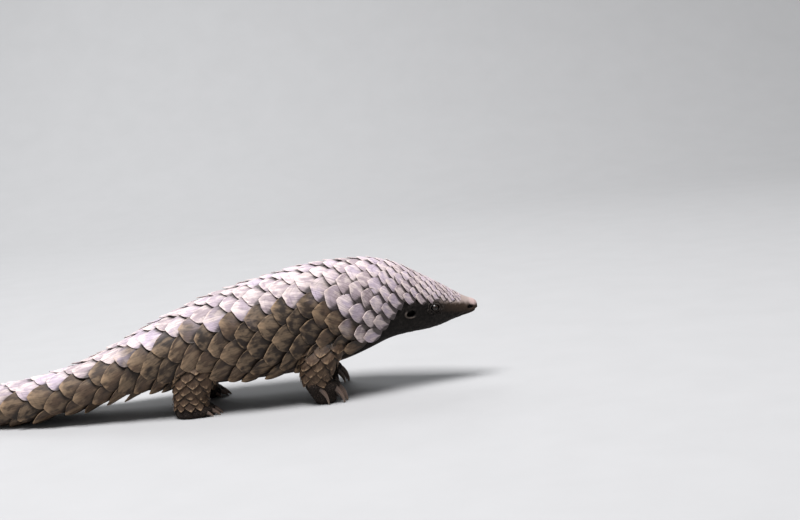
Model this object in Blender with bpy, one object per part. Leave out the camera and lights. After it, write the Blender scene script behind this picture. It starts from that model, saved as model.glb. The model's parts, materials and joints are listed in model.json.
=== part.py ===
"""A young ground pangolin at life size, standing on four feet with its tail laid on the floor.

The animal faces +X, its left side is +Y, and the floor is Z = 0. The trunk is one smooth surface from snout
to tail tip. Overlapping scales are set on it in staggered rows and fused to it, and thin cuts then part the
whole into head, neck, torso, tail lengths, legs and feet. Claws, eyes and ears sit in sockets of their own.
"""

import math
import random

import bmesh
import bpy
import numpy as np
from mathutils import Matrix, Vector

MM = 0.001
GAP = 0.3 * MM
SHORT_EDGE = 0.5 * MM
# Points nearer than these are the same point: in a tube's welded caps, and where a ring closes
CAP_WELD, RING_WELD = 0.002 * MM, 0.05 * MM
SEED = 7

# The nose tip's place ahead of the near forefoot's claws, and where the origin lies in the animal's own frame
NOSE_X = 124.0 * MM
ORIGIN = Vector((-131.9, 29.9, 0.0)) * MM

# Trunk sections, in mm: distance behind the nose, top, bottom, half width, level of the widest point as a
# share of the height, and squareness (2 is an ellipse)
TRUNK = [
    (0.0, 63.4, 60.0, 2.3, 0.50, 2.0),
    (1.4, 65.4, 58.2, 4.1, 0.50, 2.0),
    (4.0, 67.0, 56.5, 5.3, 0.50, 2.0),
    (8.0, 68.6, 55.0, 6.2, 0.50, 2.0),
    (13.5, 71.6, 53.9, 7.7, 0.50, 2.0),
    (20.5, 76.2, 51.8, 10.1, 0.50, 2.0),
    (28.0, 81.2, 49.3, 13.1, 0.50, 2.05),
    (35.0, 85.6, 47.4, 15.8, 0.50, 2.1),
    (42.5, 90.2, 46.0, 18.5, 0.50, 2.1),
    (51.0, 95.2, 45.2, 21.2, 0.50, 2.1),
    (63.5, 102.2, 44.0, 25.4, 0.49, 2.1),
    (76.5, 107.2, 41.2, 30.4, 0.48, 2.15),
    (90.5, 109.4, 36.0, 36.0, 0.46, 2.2),
    (107.5, 110.2, 30.2, 41.0, 0.45, 2.25),
    (124.5, 109.6, 26.2, 44.4, 0.44, 2.3),
    (142.5, 107.6, 23.6, 46.6, 0.44, 2.3),
    (162.5, 104.0, 21.8, 48.0, 0.44, 2.3),
    (185.5, 99.6, 21.0, 48.8, 0.44, 2.3),
    (210.5, 94.0, 20.6, 48.4, 0.44, 2.3),
    (232.5, 87.6, 20.4, 46.6, 0.44, 2.3),
    (254.5, 79.6, 20.4, 43.8, 0.43, 2.3),
    (274.5, 71.2, 19.8, 40.8, 0.42, 2.25),
    (292.5, 63.0, 18.0, 38.0, 0.41, 2.2),
    (308.0, 56.0, 15.2, 35.8, 0.40, 2.2),
    (333.0, 46.8, 10.0, 33.8, 0.39, 2.2),
    (358.0, 39.8, 5.4, 32.0, 0.38, 2.2),
    (388.0, 33.6, 1.6, 29.8, 0.38, 2.2),
    (418.0, 29.0, -0.4, 27.2, 0.38, 2.2),
    (448.0, 25.4, -0.6, 24.4, 0.38, 2.2),
    (478.0, 21.8, -0.6, 21.4, 0.38, 2.2),
    (508.0, 17.6, -0.4, 17.4, 0.40, 2.2),
    (530.0, 13.2, 0.6, 12.8, 0.42, 2.1),
    (542.0, 9.2, 2.0, 7.4, 0.45, 2.0),
    (547.0, 7.0, 4.0, 2.4, 0.50, 2.0),
]
TAIL_BASE = 308.0 * MM
TAIL_TIP = 547.0 * MM
TAIL_TURN = math.radians(58.0)
# The tail begins to bend this far ahead of its base, and bends more towards its tip by this power
TAIL_BENDS_FROM, TAIL_BEND_POWER = 20.0 * MM, 1.4

# Half of the trunk that scales cover, as a share of half the girth, by distance behind the nose in mm
COVER = [
    (20.0, 0.38), (32.0, 0.43), (42.0, 0.455), (54.5, 0.48), (62.5, 0.60), (74.0, 0.71), (95.0, 0.75),
    (240.0, 0.76), (290.0, 0.78), (330.0, 0.82), (390.0, 0.76), (547.0, 0.74),
]
# The scales' spacing on the trunk in mm, by distance behind the nose: from row to row, and from ring to ring
SPACING = [
    (21.0, 3.6, 4.2), (35.0, 5.2, 6.0), (54.0, 8.0, 9.2), (77.0, 11.0, 12.6), (96.0, 13.4, 15.2),
    (120.0, 15.0, 17.0), (270.0, 15.0, 17.4), (330.0, 15.4, 19.6), (440.0, 14.0, 18.6), (515.0, 11.0, 15.0),
    (547.0, 8.6, 11.5),
]

# Leg sections, in mm, from the shoulder or hip down: height, place along X and out from the midline, and
# the reach fore and aft, outwards and inwards
FORELEG = [
    (60.0, -1.0, 26.0, 20.0, 13.0, 12.0),
    (48.0, -5.0, 31.5, 19.0, 13.5, 13.0),
    (37.0, -9.0, 35.5, 17.0, 13.2, 12.5),
    (28.0, -12.0, 36.5, 14.2, 12.0, 11.5),
    (21.0, -14.0, 36.5, 12.0, 10.6, 10.4),
    (15.0, -12.6, 36.3, 11.4, 10.2, 10.2),
    (9.0, -10.2, 36.0, 10.4, 9.6, 10.0),
    (4.0, -8.4, 35.6, 9.6, 8.8, 9.6),
    (1.2, -7.8, 35.5, 8.8, 8.2, 9.0),
    (0.0, -7.8, 35.5, 7.8, 7.4, 8.2),
]
HINDLEG = [
    (56.0, -103.0, 24.5, 24.0, 14.5, 13.0),
    (44.0, -107.0, 29.5, 22.0, 15.0, 14.0),
    (34.0, -110.5, 32.5, 19.5, 14.5, 13.5),
    (25.0, -114.0, 34.0, 16.4, 13.2, 12.8),
    (17.0, -116.5, 34.0, 14.2, 12.4, 12.4),
    (10.0, -117.0, 34.0, 14.2, 12.6, 12.6),
    (4.0, -116.5, 34.0, 15.0, 13.2, 13.2),
    (1.2, -116.5, 34.0, 14.4, 12.6, 12.6),
    (0.0, -116.5, 34.0, 13.4, 11.8, 11.8),
]
LEG_SQUARENESS = 2.15

# Where the scales begin behind the nose, and how far short of the tail's tip the last ones are set
FIRST_SCALES, LAST_SCALES = 21.5 * MM, 6.0 * MM
LEG_COVER, LEG_ROW, LEG_RING, LEG_RISE = 0.74, 9.4 * MM, 10.4 * MM, 1.7 * MM
LEG_SCALES_FROM = 8.0 * MM
RISE_OF_SPACING = 0.18
# A scale's outline from its tip round, as (across, along) in row and ring spacings, with its height over the
# skin in rises. The top has a low keel, and bends along the lines between these pairs of its points.
SCALE_OUTLINE = [
    (0.00, 1.20, 1.20), (0.66, 0.80, 0.98), (0.98, 0.02, 0.45), (0.55, -1.08, -1.10),
    (0.00, -1.08, -1.10), (-0.55, -1.08, -1.10), (-0.98, 0.02, 0.45), (-0.66, 0.80, 0.98),
]
SCALE_BENDS = ((0, 4), (0, 2), (2, 4), (0, 6), (6, 4))
UNDERSIDE_DEPTH = 2.4
# How much scales differ in width, in length and in height, and how far one is turned, as shares
WIDTH_VARIES, LENGTH_VARIES, HEIGHT_VARIES, TURN_VARIES = 0.04, 0.04, 0.12, 0.05
# How far the trunk lies in under its scales, in rises
BED_DEPTH = 1.3

# Distances behind the nose, in mm: the rings of the trunk's mesh, and where thin cuts part it into nodes
SPINE = [0, 1.4, 4, 8, 13, 19, 26, 33, 40, 48, 57, 67, 78, 90, *range(104, 540, 15), 543, 547]
CUTS = (63.5, 94.0, 206.0, 308.0, 388.0, 464.0)
TRUNK_NODES = ("head", "neck", "torso_front", "torso_rear", "tail_base", "tail_middle", "tail_end")
TRUNK_SIDES, LEG_SIDES, LEG_STEPS, LID_STEPS = 22, 12, 8, 10
# How far the box that cuts out a length of the trunk reaches to its sides, and beyond the nose or tail tip
SECTION_REACH, SECTION_BEYOND = 160.0 * MM, 25.0 * MM
# The tail's sections reach less, as a share, so that they don't meet the body again where the tail bends
TAIL_SECTION_SHARE = 0.5

EYE_BEHIND_NOSE, EYE_HEIGHT, EYE_RADIUS, EYE_SUNK = 35.5 * MM, 64.9 * MM, 3.1 * MM, 1.3 * MM
EAR_BEHIND_NOSE, EAR_HEIGHT, EAR_LEAN = 55.6 * MM, 63.0 * MM, math.radians(20)
EAR_REACH = Vector((4.6, 4.0, 2.2)) * MM
EAR_HOLLOW = Vector((3.1, 2.6, 2.2)) * MM
# Places on the face in mm behind the nose and above the floor: the mouth from its corner, and the nostril
MOUTH = [(18.5, 54.0), (14.5, 55.3), (10.5, 56.3), (6.5, 57.2), (3.4, 58.0)]
NOSTRIL = (5.3, 61.0)
NOSTRIL_REACH = Vector((2.0, 1.1, 1.3)) * MM
# The level of the mouth at the nose's tip, and how deep the lips are sunk in the skin. Each lip has its
# lift over the mouth line, its radius, and how far its front lies behind the nose tip, in mm
MOUTH_FRONT, LIP_SUNK, LIP_END = 58.6, 0.35 * MM, 0.45 * MM
LIPS = ((0.9, 0.9, 0.9), (-0.9, 0.8, 2.5))
# The lids' ring, as its half length, half height and height over the skin, and its thickness
LID_RING, LID_RADIUS = (3.6, 3.0, 0.1), 1.1 * MM
# A claw leaves its toe pitched down, and bends further down by its tip, in degrees
CLAW_PITCH, CLAW_BEND, SPREAD_PER_MM = 26.0, 66.0, 1.2
# Claws longer than this have one more bend, and a claw's middle line keeps this far above the floor, in mm,
# plus the second height at its root
LONG_CLAW, CLAW_CLEAR, CLAW_TIP = 14.0 * MM, 0.35, 0.5
# How much of its base radius a claw loses by its tip, and the power that keeps its root stout
CLAW_TAPER, CLAW_TAPER_POWER = 0.86, 1.6
# How far ahead of its toe's middle a claw starts, as a share of the toe's radius
CLAW_START = 0.2
# The sockets' faceted balls are larger than eye and ear by these many gaps, so that no flat comes too near
EYE_ROOM, EAR_ROOM = 1.15, 1.2

# Each toe: how far ahead of the foot's middle it sits, how far outwards, its height and radius, and its
# claw's length, base radius and share of drop
FORE_TOES = [
    (3.0, -8.4, 7.4, 3.0, 7.0, 1.3, 0.8),
    (5.0, -4.8, 12.6, 3.8, 13.0, 2.2, 1.0),
    (6.6, 0.4, 14.4, 4.3, 15.6, 2.7, 1.0),
    (5.0, 6.2, 14.2, 4.1, 15.2, 2.5, 1.0),
    (-7.6, 8.8, 15.6, 3.7, 15.6, 2.2, 1.0),
]
HIND_TOES = [
    (9.0, -9.4, 4.6, 3.2, 6.0, 1.7, 0.5),
    (12.4, -5.0, 5.2, 3.6, 7.6, 2.1, 0.5),
    (13.4, 0.0, 5.4, 3.8, 8.2, 2.2, 0.5),
    (12.4, 5.0, 5.2, 3.6, 7.6, 2.1, 0.5),
    (9.0, 9.4, 4.6, 3.2, 6.0, 1.7, 0.5),
]

# Toes are longer than wide, and their front is lower than their back
TOE_STRETCH, TOE_TILT = 1.35, math.radians(14)

# Each pair of legs: its sections, toes, height of the wrist or ankle and of the lowest scales, and the box
# that holds a leg, as its middle, half sizes and lean
LEGS = [
    ("fore", FORELEG, FORE_TOES, 20.5, 19.0, ((-5.0, 50.0, 12.0), (36.0, 32.0, 24.0), math.radians(32))),
    ("hind", HINDLEG, HIND_TOES, 12.0, 12.0, ((-110.0, 48.0, 8.0), (36.0, 32.0, 24.0), math.radians(32))),
]

COLOURS = {
    "scale_horn": ((0.235, 0.190, 0.160), 0.50),
    "face_skin": ((0.170, 0.130, 0.110), 0.62),
    "claw_horn": ((0.300, 0.205, 0.140), 0.45),
    "eye_dark": ((0.010, 0.009, 0.009), 0.08),
}


def smooth_through(knots, values, at):
    """Each column of values as a smooth curve through its knots."""
    knots, values = np.asarray(knots, float), np.asarray(values, float)
    slopes = np.gradient(values, knots, axis=0)
    at = np.clip(at, knots[0], knots[-1])
    i = np.clip(np.searchsorted(knots, at) - 1, 0, len(knots) - 2)
    span = knots[i + 1] - knots[i]
    t = ((at - knots[i]) / span)[:, None]
    step = (slopes[i] * (1 - t) - slopes[i + 1] * t) * span[:, None]
    blend = t * t * (3 - 2 * t)
    return values[i] * (1 - blend) + values[i + 1] * blend + t * (1 - t) * step


class Limb:
    """A smooth surface round a path, read by distance along the path and by girth from its middle line.

    Girth is measured round the section from the middle line, positive towards the side direction.
    """

    HALF_STEPS = 48

    def __init__(self, along, centres, sides, ups, reaches, squareness):
        self.along = along
        self.centres = centres
        half_width, reach_up, reach_down = reaches.T
        angle = np.linspace(0.0, math.pi, 241)
        power = 2.0 / squareness[:, None]
        across = half_width[:, None] * np.abs(np.sin(angle)) ** power
        lift = np.abs(np.cos(angle)) ** power
        lift = np.where(np.cos(angle) > 0, reach_up[:, None] * lift, -reach_down[:, None] * lift)
        steps = np.hypot(np.diff(across, axis=1), np.diff(lift, axis=1))
        arc = np.concatenate([np.zeros((len(along), 1)), np.cumsum(steps, axis=1)], axis=1)
        self.half_girth = arc[:, -1]
        share = np.linspace(0.0, 1.0, self.HALF_STEPS + 1)
        half = np.array([
            np.stack([np.interp(share * row[-1], row, a), np.interp(share * row[-1], row, b)], axis=1)
            for row, a, b in zip(arc, across, lift)
        ])
        both = np.concatenate([half[:, :0:-1] * (-1, 1), half], axis=1)
        self.points = (
            centres[:, None] + sides[:, None] * both[..., :1] + ups[:, None] * both[..., 1:]
        )
        down_path = np.gradient(self.points, along, axis=0)
        round_girth = np.gradient(self.points, axis=1)
        normals = np.cross(down_path, round_girth)
        normals /= np.linalg.norm(normals, axis=2, keepdims=True) + 1e-12
        outward = np.sum(normals * (self.points - centres[:, None]), axis=2, keepdims=True)
        self.normals = normals * np.where(outward.sum() < 0, -1.0, 1.0)

    def at(self, along, girth):
        """(points, outward normals) at these distances along the path and girths, as arrays."""
        along, girth = np.broadcast_arrays(np.asarray(along, float), np.asarray(girth, float))
        row = np.interp(along, self.along, np.arange(len(self.along)))
        share = np.clip(girth / np.interp(along, self.along, self.half_girth), -1.0, 1.0)
        column = (share + 1.0) * self.HALF_STEPS
        i = np.clip(row.astype(int), 0, len(self.along) - 2)
        j = np.clip(column.astype(int), 0, 2 * self.HALF_STEPS - 1)
        u, v = (row - i)[..., None], (column - j)[..., None]
        points, normals = (
            grid[i, j] * (1 - u) * (1 - v) + grid[i + 1, j] * u * (1 - v)
            + grid[i, j + 1] * (1 - u) * v + grid[i + 1, j + 1] * u * v
            for grid in (self.points, self.normals)
        )
        return points, normals / np.linalg.norm(normals, axis=-1, keepdims=True)

    def girth_at_height(self, along, height, side):
        """The girth on one side, +1 or -1, where the section reaches this height."""
        half = np.interp(along, self.along, self.half_girth)
        girths = np.linspace(0.02, 0.9, 200) * half * side
        heights = self.at(along, girths)[0][:, 2]
        return girths[np.argmin(np.abs(heights - height))]


def trunk_limb():
    """The surface from snout to tail tip. The path runs level backwards, and turns left along the tail."""
    table = np.array(TRUNK)
    table[:, :4] *= MM
    along = np.arange(0.0, TAIL_TIP + 0.5 * MM, 1.0 * MM)
    top, bottom, half_width, widest, squareness = smooth_through(table[:, 0], table[:, 1:], along).T
    share = np.clip((along - TAIL_BASE + TAIL_BENDS_FROM) / (TAIL_TIP - TAIL_BASE), 0.0, 1.0)
    heading = TAIL_TURN * share ** TAIL_BEND_POWER
    step = np.gradient(along)
    x = NOSE_X - np.cumsum(np.cos(heading) * step) + step[0]
    y = np.cumsum(np.sin(heading) * step)
    level = bottom + widest * (top - bottom)
    centres = np.stack([x, y, level], axis=1)
    sides = np.stack([np.sin(heading), np.cos(heading), np.zeros_like(x)], axis=1)
    ups = np.tile((0.0, 0.0, 1.0), (len(along), 1))
    reaches = np.stack([half_width, top - level, level - bottom], axis=1)
    return Limb(along, centres, sides, ups, reaches, squareness)


def leg_limb(table, side):
    """A leg's surface, from inside the trunk down to a flat sole."""
    table = np.array(table) * MM
    drop = table[0, 0] - table[:, 0]
    along = np.append(np.arange(0.0, drop[-1], 1.0 * MM), drop[-1])
    height, x, out, fore_aft, outwards, inwards = smooth_through(drop, table, along).T
    centres = np.stack([x, out * side, height], axis=1)
    sides = np.tile((1.0, 0.0, 0.0), (len(along), 1))
    ups = np.tile((0.0, float(side), 0.0), (len(along), 1))
    reaches = np.stack([fore_aft, outwards, inwards], axis=1)
    return Limb(along, centres, sides, ups, reaches, np.full(len(along), LEG_SQUARENESS))


def new_object(name, mesh, collection):
    obj = bpy.data.objects.new(name, mesh)
    collection.objects.link(obj)
    return obj


def from_bmesh(name, bm, collection):
    """A closed mesh object with its faces pointing out."""
    bmesh.ops.recalc_face_normals(bm, faces=bm.faces)
    mesh = bpy.data.meshes.new(name)
    bm.to_mesh(mesh)
    bm.free()
    return new_object(name, mesh, collection)


def loft(name, limb, alongs, sides, collection, bed=None):
    """The limb's surface as a closed mesh, with one ring of points for each distance along the path."""
    bm = bmesh.new()
    share = np.arange(sides) / sides * 2.0 - 1.0
    rings = []
    for along in alongs:
        half = np.interp(along, limb.along, limb.half_girth)
        points, normals = limb.at(along, share * half)
        if bed:
            points = points - normals * bed(along, share * half)[:, None]
        rings.append([bm.verts.new(p) for p in points])
    for ring, following in zip(rings, rings[1:]):
        for k in range(sides):
            after = (k + 1) % sides
            bm.faces.new((ring[k], ring[after], following[after], following[k]))
    bm.faces.new(rings[0])
    bm.faces.new(rings[-1][::-1])
    return from_bmesh(name, bm, collection)


def scale_template():
    """One scale as a flat plate, and for each of its points its place in the outline and if it is on top."""
    count = len(SCALE_OUTLINE)
    bm = bmesh.new()
    bmesh.ops.create_cone(bm, cap_ends=True, segments=count, radius1=1.0, radius2=1.0, depth=2.0)
    places = [
        (round(math.atan2(v.co.x, v.co.y) / (2 * math.pi) * count) % count, v.co.z > 0) for v in bm.verts
    ]
    bm.verts.ensure_lookup_table()
    top = {index: bm.verts[k] for k, (index, on_top) in enumerate(places) if on_top}
    for first, second in SCALE_BENDS:
        bmesh.ops.connect_verts(bm, verts=[top[first], top[second]])
    mesh = bpy.data.meshes.new("scale_template")
    bm.to_mesh(mesh)
    bm.free()
    return mesh, places


def set_scale(template, places, limb, along, girth, row, ring, rise, rng, collection):
    """A copy of the template, bent onto the limb with its tip down the path and its root sunk in."""
    wide, long, high = (1 + rng.uniform(-s, s) for s in (WIDTH_VARIES, LENGTH_VARIES, HEIGHT_VARIES))
    turn = rng.uniform(-TURN_VARIES, TURN_VARIES)
    offsets = []
    for index, on_top in places:
        across, ahead, height = SCALE_OUTLINE[index]
        across, ahead = across * row * wide, ahead * ring * long
        height = height * rise * high if on_top else -UNDERSIDE_DEPTH * rise
        offsets.append((ahead - across * turn, across + ahead * turn, height))
    ahead, across, height = np.array(offsets).T
    points, normals = limb.at(along + ahead, girth + across)
    mesh = template.copy()
    for vertex, place in zip(mesh.vertices, points + normals * height[:, None]):
        vertex.co = place
    bm = bmesh.new()
    bm.from_mesh(mesh)
    bmesh.ops.recalc_face_normals(bm, faces=bm.faces)
    bm.to_mesh(mesh)
    bm.free()
    return new_object("scale", mesh, collection)


class Coat:
    """The scales' lattice on one limb: its reach, its spacing, and how deep the limb lies under it."""

    def __init__(self, limb, start, end, cover, spacing):
        self.limb, self.start, self.end = limb, start, end
        self.cover_share, self.spacing = cover, spacing

    def cover(self, along):
        """How much of the girth on each side has scales."""
        return np.interp(along, self.limb.along, self.limb.half_girth) * self.cover_share(along)

    def bed(self, along, girth):
        row, ring, rise = self.spacing(along)
        under = np.clip((self.cover(along) - np.abs(girth)) / row, 0.0, 1.0)
        ends = np.clip(min(along - self.start, self.end + ring - along) / (1.5 * ring), 0.0, 1.0)
        return under * ends * BED_DEPTH * rise

    def set_scales(self, template, places, rng, collection):
        """Staggered rings of scales with their tips down the path, in rows that widen with the girth."""
        along, count = self.start, 0
        while along < self.end:
            row, ring, rise = self.spacing(along)
            last = int(self.cover(along) / row)
            for j in range(-last, last + 1):
                if (j + count) % 2 == 0:
                    set_scale(
                        template, places, self.limb, along, j * row, row, ring, rise, rng, collection
                    )
            along += ring
            count += 1


def trunk_coat(trunk):
    behind, rows, rings = np.array(SPACING).T
    cover_at, cover_share = np.array(COVER).T

    def cover(along):
        return np.interp(along / MM, cover_at, cover_share)

    def spacing(along):
        row = np.interp(along / MM, behind, rows) * MM
        return row, np.interp(along / MM, behind, rings) * MM, row * RISE_OF_SPACING

    return Coat(trunk, FIRST_SCALES, TAIL_TIP - LAST_SCALES, cover, spacing)


def leg_coat(limb, lowest):
    end = limb.along[-1] - lowest
    spacing = (LEG_ROW, LEG_RING, LEG_RISE)
    return Coat(limb, LEG_SCALES_FROM, end, lambda along: LEG_COVER, lambda along: spacing)


def tube(name, points, radii, resolution, collection):
    """A tapering tube through the points, as a closed mesh."""
    curve = bpy.data.curves.new(name, "CURVE")
    curve.dimensions = "3D"
    curve.bevel_depth = 1.0
    curve.bevel_resolution = resolution
    curve.use_fill_caps = True
    spline = curve.splines.new("POLY")
    spline.points.add(len(points) - 1)
    for point, place, radius in zip(spline.points, points, radii):
        point.co = (*place, 1.0)
        point.radius = radius
    guide = new_object(name + "_guide", curve, collection)
    bpy.context.view_layer.update()
    graph = bpy.context.evaluated_depsgraph_get()
    mesh = bpy.data.meshes.new_from_object(guide.evaluated_get(graph))
    bm = bmesh.new()
    bm.from_mesh(mesh)
    bmesh.ops.remove_doubles(bm, verts=bm.verts, dist=CAP_WELD)
    bpy.data.objects.remove(guide)
    bpy.data.meshes.remove(mesh)
    return from_bmesh(name, bm, collection)


def ball(name, centre, reach, turn, collection, u, v):
    """An ellipsoid from a sphere, with its own three reaches and turn."""
    bm = bmesh.new()
    place = Matrix.Translation(centre) @ turn.to_4x4() @ Matrix.Diagonal((*reach, 1.0))
    bmesh.ops.create_uvsphere(bm, u_segments=u, v_segments=v, radius=1.0, matrix=place)
    return from_bmesh(name, bm, collection)


def block(name, low, high, collection, turn=None):
    """A box between two corners, turned about its own centre."""
    low, high = Vector(low), Vector(high)
    centre = (low + high) / 2
    place = Matrix.Translation(centre) @ (turn or Matrix.Identity(3)).to_4x4()
    place = place @ Matrix.Diagonal((*(high - low), 1.0))
    bm = bmesh.new()
    bmesh.ops.create_cube(bm, size=1.0, matrix=place)
    return from_bmesh(name, bm, collection)


def apply_boolean(obj, operation, collection=None, cutter=None):
    modifier = obj.modifiers.new("join", "BOOLEAN")
    modifier.operation = operation
    modifier.solver = "MANIFOLD"
    if collection:
        modifier.operand_type = "COLLECTION"
        modifier.collection = collection
    else:
        modifier.object = cutter
    bpy.context.view_layer.update()
    graph = bpy.context.evaluated_depsgraph_get()
    mesh = bpy.data.meshes.new_from_object(obj.evaluated_get(graph))
    obj.modifiers.clear()
    old, obj.data = obj.data, mesh
    bpy.data.meshes.remove(old)


def empty_collection(collection):
    for obj in list(collection.objects):
        bpy.data.objects.remove(obj)


def polygon_normal(places):
    """Twice a polygon's area, along its normal."""
    first = places[0]
    total = Vector()
    for second, third in zip(places[1:], places[2:]):
        total += (second - first).cross(third - first)
    return total


def can_close(keep, move):
    """Whether a point can be drawn onto its neighbour with the surface left closed and unfolded."""
    shared = [face for face in keep.link_faces if face in set(move.link_faces)]
    near = {e.other_vert(keep) for e in keep.link_edges} & {e.other_vert(move) for e in move.link_edges}
    if len(shared) != 2 or len(near) != sum(len(face.verts) == 3 for face in shared):
        return False
    for face in move.link_faces:
        if face in shared and len(face.verts) == 3:
            continue
        after = polygon_normal([keep.co if v is move else v.co for v in face.verts])
        if after.dot(polygon_normal([v.co for v in face.verts])) <= 0:
            return False
    return True


def close_short_edges(obj, limit):
    """Draws the ends of short edges together, which clears the slivers where scales cross."""
    bm = bmesh.new()
    bm.from_mesh(obj.data)
    moved = True
    while moved:
        moved, taken = {}, set()
        for edge in sorted(bm.edges, key=lambda e: e.calc_length()):
            if edge.calc_length() >= limit:
                break
            keep, move = sorted(edge.verts, key=sharpness)
            around = {v for face in (*keep.link_faces, *move.link_faces) for v in face.verts}
            if around & taken or not can_close(keep, move):
                continue
            taken |= around
            moved[move] = keep
        bmesh.ops.weld_verts(bm, targetmap=moved)
    bm.to_mesh(obj.data)
    bm.free()


def sharpness(vertex):
    """The least agreement between the faces at a point: low at a corner, 1 on a flat."""
    normals = [face.normal for face in vertex.link_faces]
    return min(a.dot(b) for a in normals for b in normals)


def keep_largest(obj):
    """Keeps only the mesh's largest closed surface, and drops the scraps that a cut leaves."""
    bm = bmesh.new()
    bm.from_mesh(obj.data)
    waiting = set(bm.verts)
    groups = []
    while waiting:
        found, edge = set(), [waiting.pop()]
        while edge:
            vertex = edge.pop()
            found.add(vertex)
            for link in vertex.link_edges:
                other = link.other_vert(vertex)
                if other in waiting:
                    waiting.discard(other)
                    edge.append(other)
        groups.append(found)
    groups.sort(key=len)
    loose = [v for group in groups[:-1] for v in group]
    bmesh.ops.delete(bm, geom=loose, context="VERTS")
    bm.to_mesh(obj.data)
    bm.free()


def part_between(whole, trunk, start, end, name, collection, cutters):
    """The piece of the whole between two distances behind the nose, with half a gap left free at each cut."""
    bm = bmesh.new()
    bmesh.ops.create_cube(bm, size=2.0)
    for vertex in bm.verts:
        at_end = vertex.co.x < 0
        along = end - GAP / 2 if at_end else start + GAP / 2
        centre = np.array([np.interp(along, trunk.along, c) for c in trunk.centres.T])
        side = trunk.at(along, 1 * MM)[0] - trunk.at(along, -1 * MM)[0]
        side[2] = 0.0
        side /= np.linalg.norm(side)
        backwards = np.array((-side[1], side[0], 0.0))
        share = TAIL_SECTION_SHARE if along > TAIL_BASE + GAP else 1.0
        place = centre + side * vertex.co.y * SECTION_REACH * share
        if at_end and end >= TAIL_TIP:
            place += backwards * SECTION_BEYOND
        if not at_end and start <= 0.0:
            place -= backwards * SECTION_BEYOND
        place[2] = SECTION_REACH * vertex.co.z
        vertex.co = place
    box = from_bmesh("section", bm, cutters)
    return cut_out(whole, box, name, collection)


def cut_out(whole, box, name, collection):
    """A new node of what the box holds of the whole."""
    piece = new_object(name, whole.data.copy(), collection)
    apply_boolean(piece, "INTERSECT", cutter=box)
    keep_largest(piece)
    return piece


def leg_box(name, reach, side, grow, cutters):
    """A box that leans over the belly and holds one leg, grown on all its sides by a gap."""
    middle, half, lean = reach
    middle = Vector((middle[0], middle[1] * side, middle[2])) * MM
    half = Vector(half) * MM + Vector((grow, grow, grow))
    return block(name, middle - half, middle + half, cutters, Matrix.Rotation(lean * side, 3, "X"))


def claw_line(base, side, length, drop, spread):
    """A claw's middle line: forwards out of the toe, then bending down to the floor."""
    steps = 4 if length > LONG_CLAW else 3
    pitch, bend = math.radians(CLAW_PITCH) * drop, math.radians(CLAW_BEND) * drop
    line = []
    for k in range(steps + 1):
        t = k / steps
        forward = (math.sin(pitch + bend * t) - math.sin(pitch)) / bend * length
        down = (math.cos(pitch) - math.cos(pitch + bend * t)) / bend * length
        floor = (CLAW_CLEAR + CLAW_TIP * (1 - t)) * MM
        line.append(Vector((
            base.x + forward * math.cos(spread),
            base.y + forward * math.sin(spread) * side,
            max(base.z - down, floor),
        )))
    return line


def claws_of(foot, toes, place, side, name, material_, animal, cutters):
    """Separate claws for a foot's toes, each in a socket cut a gap wider than itself."""
    for number, (ahead, out, height, radius, length, thick, drop) in enumerate(toes, 1):
        base = place + Vector((ahead + CLAW_START * radius, out * side, height)) * MM
        spread = math.radians(SPREAD_PER_MM * out)
        line = claw_line(base, side, (length + radius) * MM, drop, spread)
        count = len(line) - 1
        radii = [thick * MM * (1 - CLAW_TAPER * (k / count) ** CLAW_TAPER_POWER) for k in range(count + 1)]
        claw = tube(f"{name}_claw_{number}", line, radii, 1, animal)
        claw.data.materials.append(material_)
        start = line[0] - (line[1] - line[0]).normalized() * GAP
        socket = tube("socket", [start, *line[1:]], [r + GAP for r in radii], 1, cutters)
        apply_boolean(foot, "DIFFERENCE", cutter=socket)


def material(name):
    colour, roughness = COLOURS[name]
    made = bpy.data.materials.new(name)
    made.use_nodes = True
    shader = made.node_tree.nodes["Principled BSDF"]
    shader.inputs["Base Color"].default_value = (*colour, 1.0)
    shader.inputs["Roughness"].default_value = roughness
    shader.inputs["Metallic"].default_value = 0.0
    made.diffuse_color = (*colour, 1.0)
    return made


def surface_frame(trunk, behind, height, side):
    """A point on the trunk's skin, and a turn whose Z is the skin's normal and whose X runs forwards."""
    girth = trunk.girth_at_height(behind, height, side)
    point, normal = trunk.at(behind, girth)
    z = Vector(normal)
    y = z.cross(Vector((1, 0, 0))).normalized()
    return Vector(point), Matrix((y.cross(z), y, z)).transposed()


def weld_ring(obj):
    """Closes a tube whose last ring lies on its first: the two caps go, and the rings become one."""
    bm = bmesh.new()
    bm.from_mesh(obj.data)
    caps = [f for f in bm.faces if len(f.verts) > 4]
    bmesh.ops.delete(bm, geom=caps, context="FACES_ONLY")
    bmesh.ops.remove_doubles(bm, verts=bm.verts, dist=RING_WELD)
    bmesh.ops.recalc_face_normals(bm, faces=bm.faces)
    bm.to_mesh(obj.data)
    bm.free()


def add_lids(trunk, side, collection):
    """A raised ring round the eye, a little longer than high."""
    point, frame = surface_frame(trunk, EYE_BEHIND_NOSE, EYE_HEIGHT, side)
    ring = [
        point + frame @ Vector((LID_RING[0] * math.cos(a), LID_RING[1] * math.sin(a), LID_RING[2])) * MM
        for a in np.linspace(0, 2 * math.pi, LID_STEPS + 1)
    ]
    weld_ring(tube("lids", ring, [LID_RADIUS] * len(ring), 1, collection))


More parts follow.
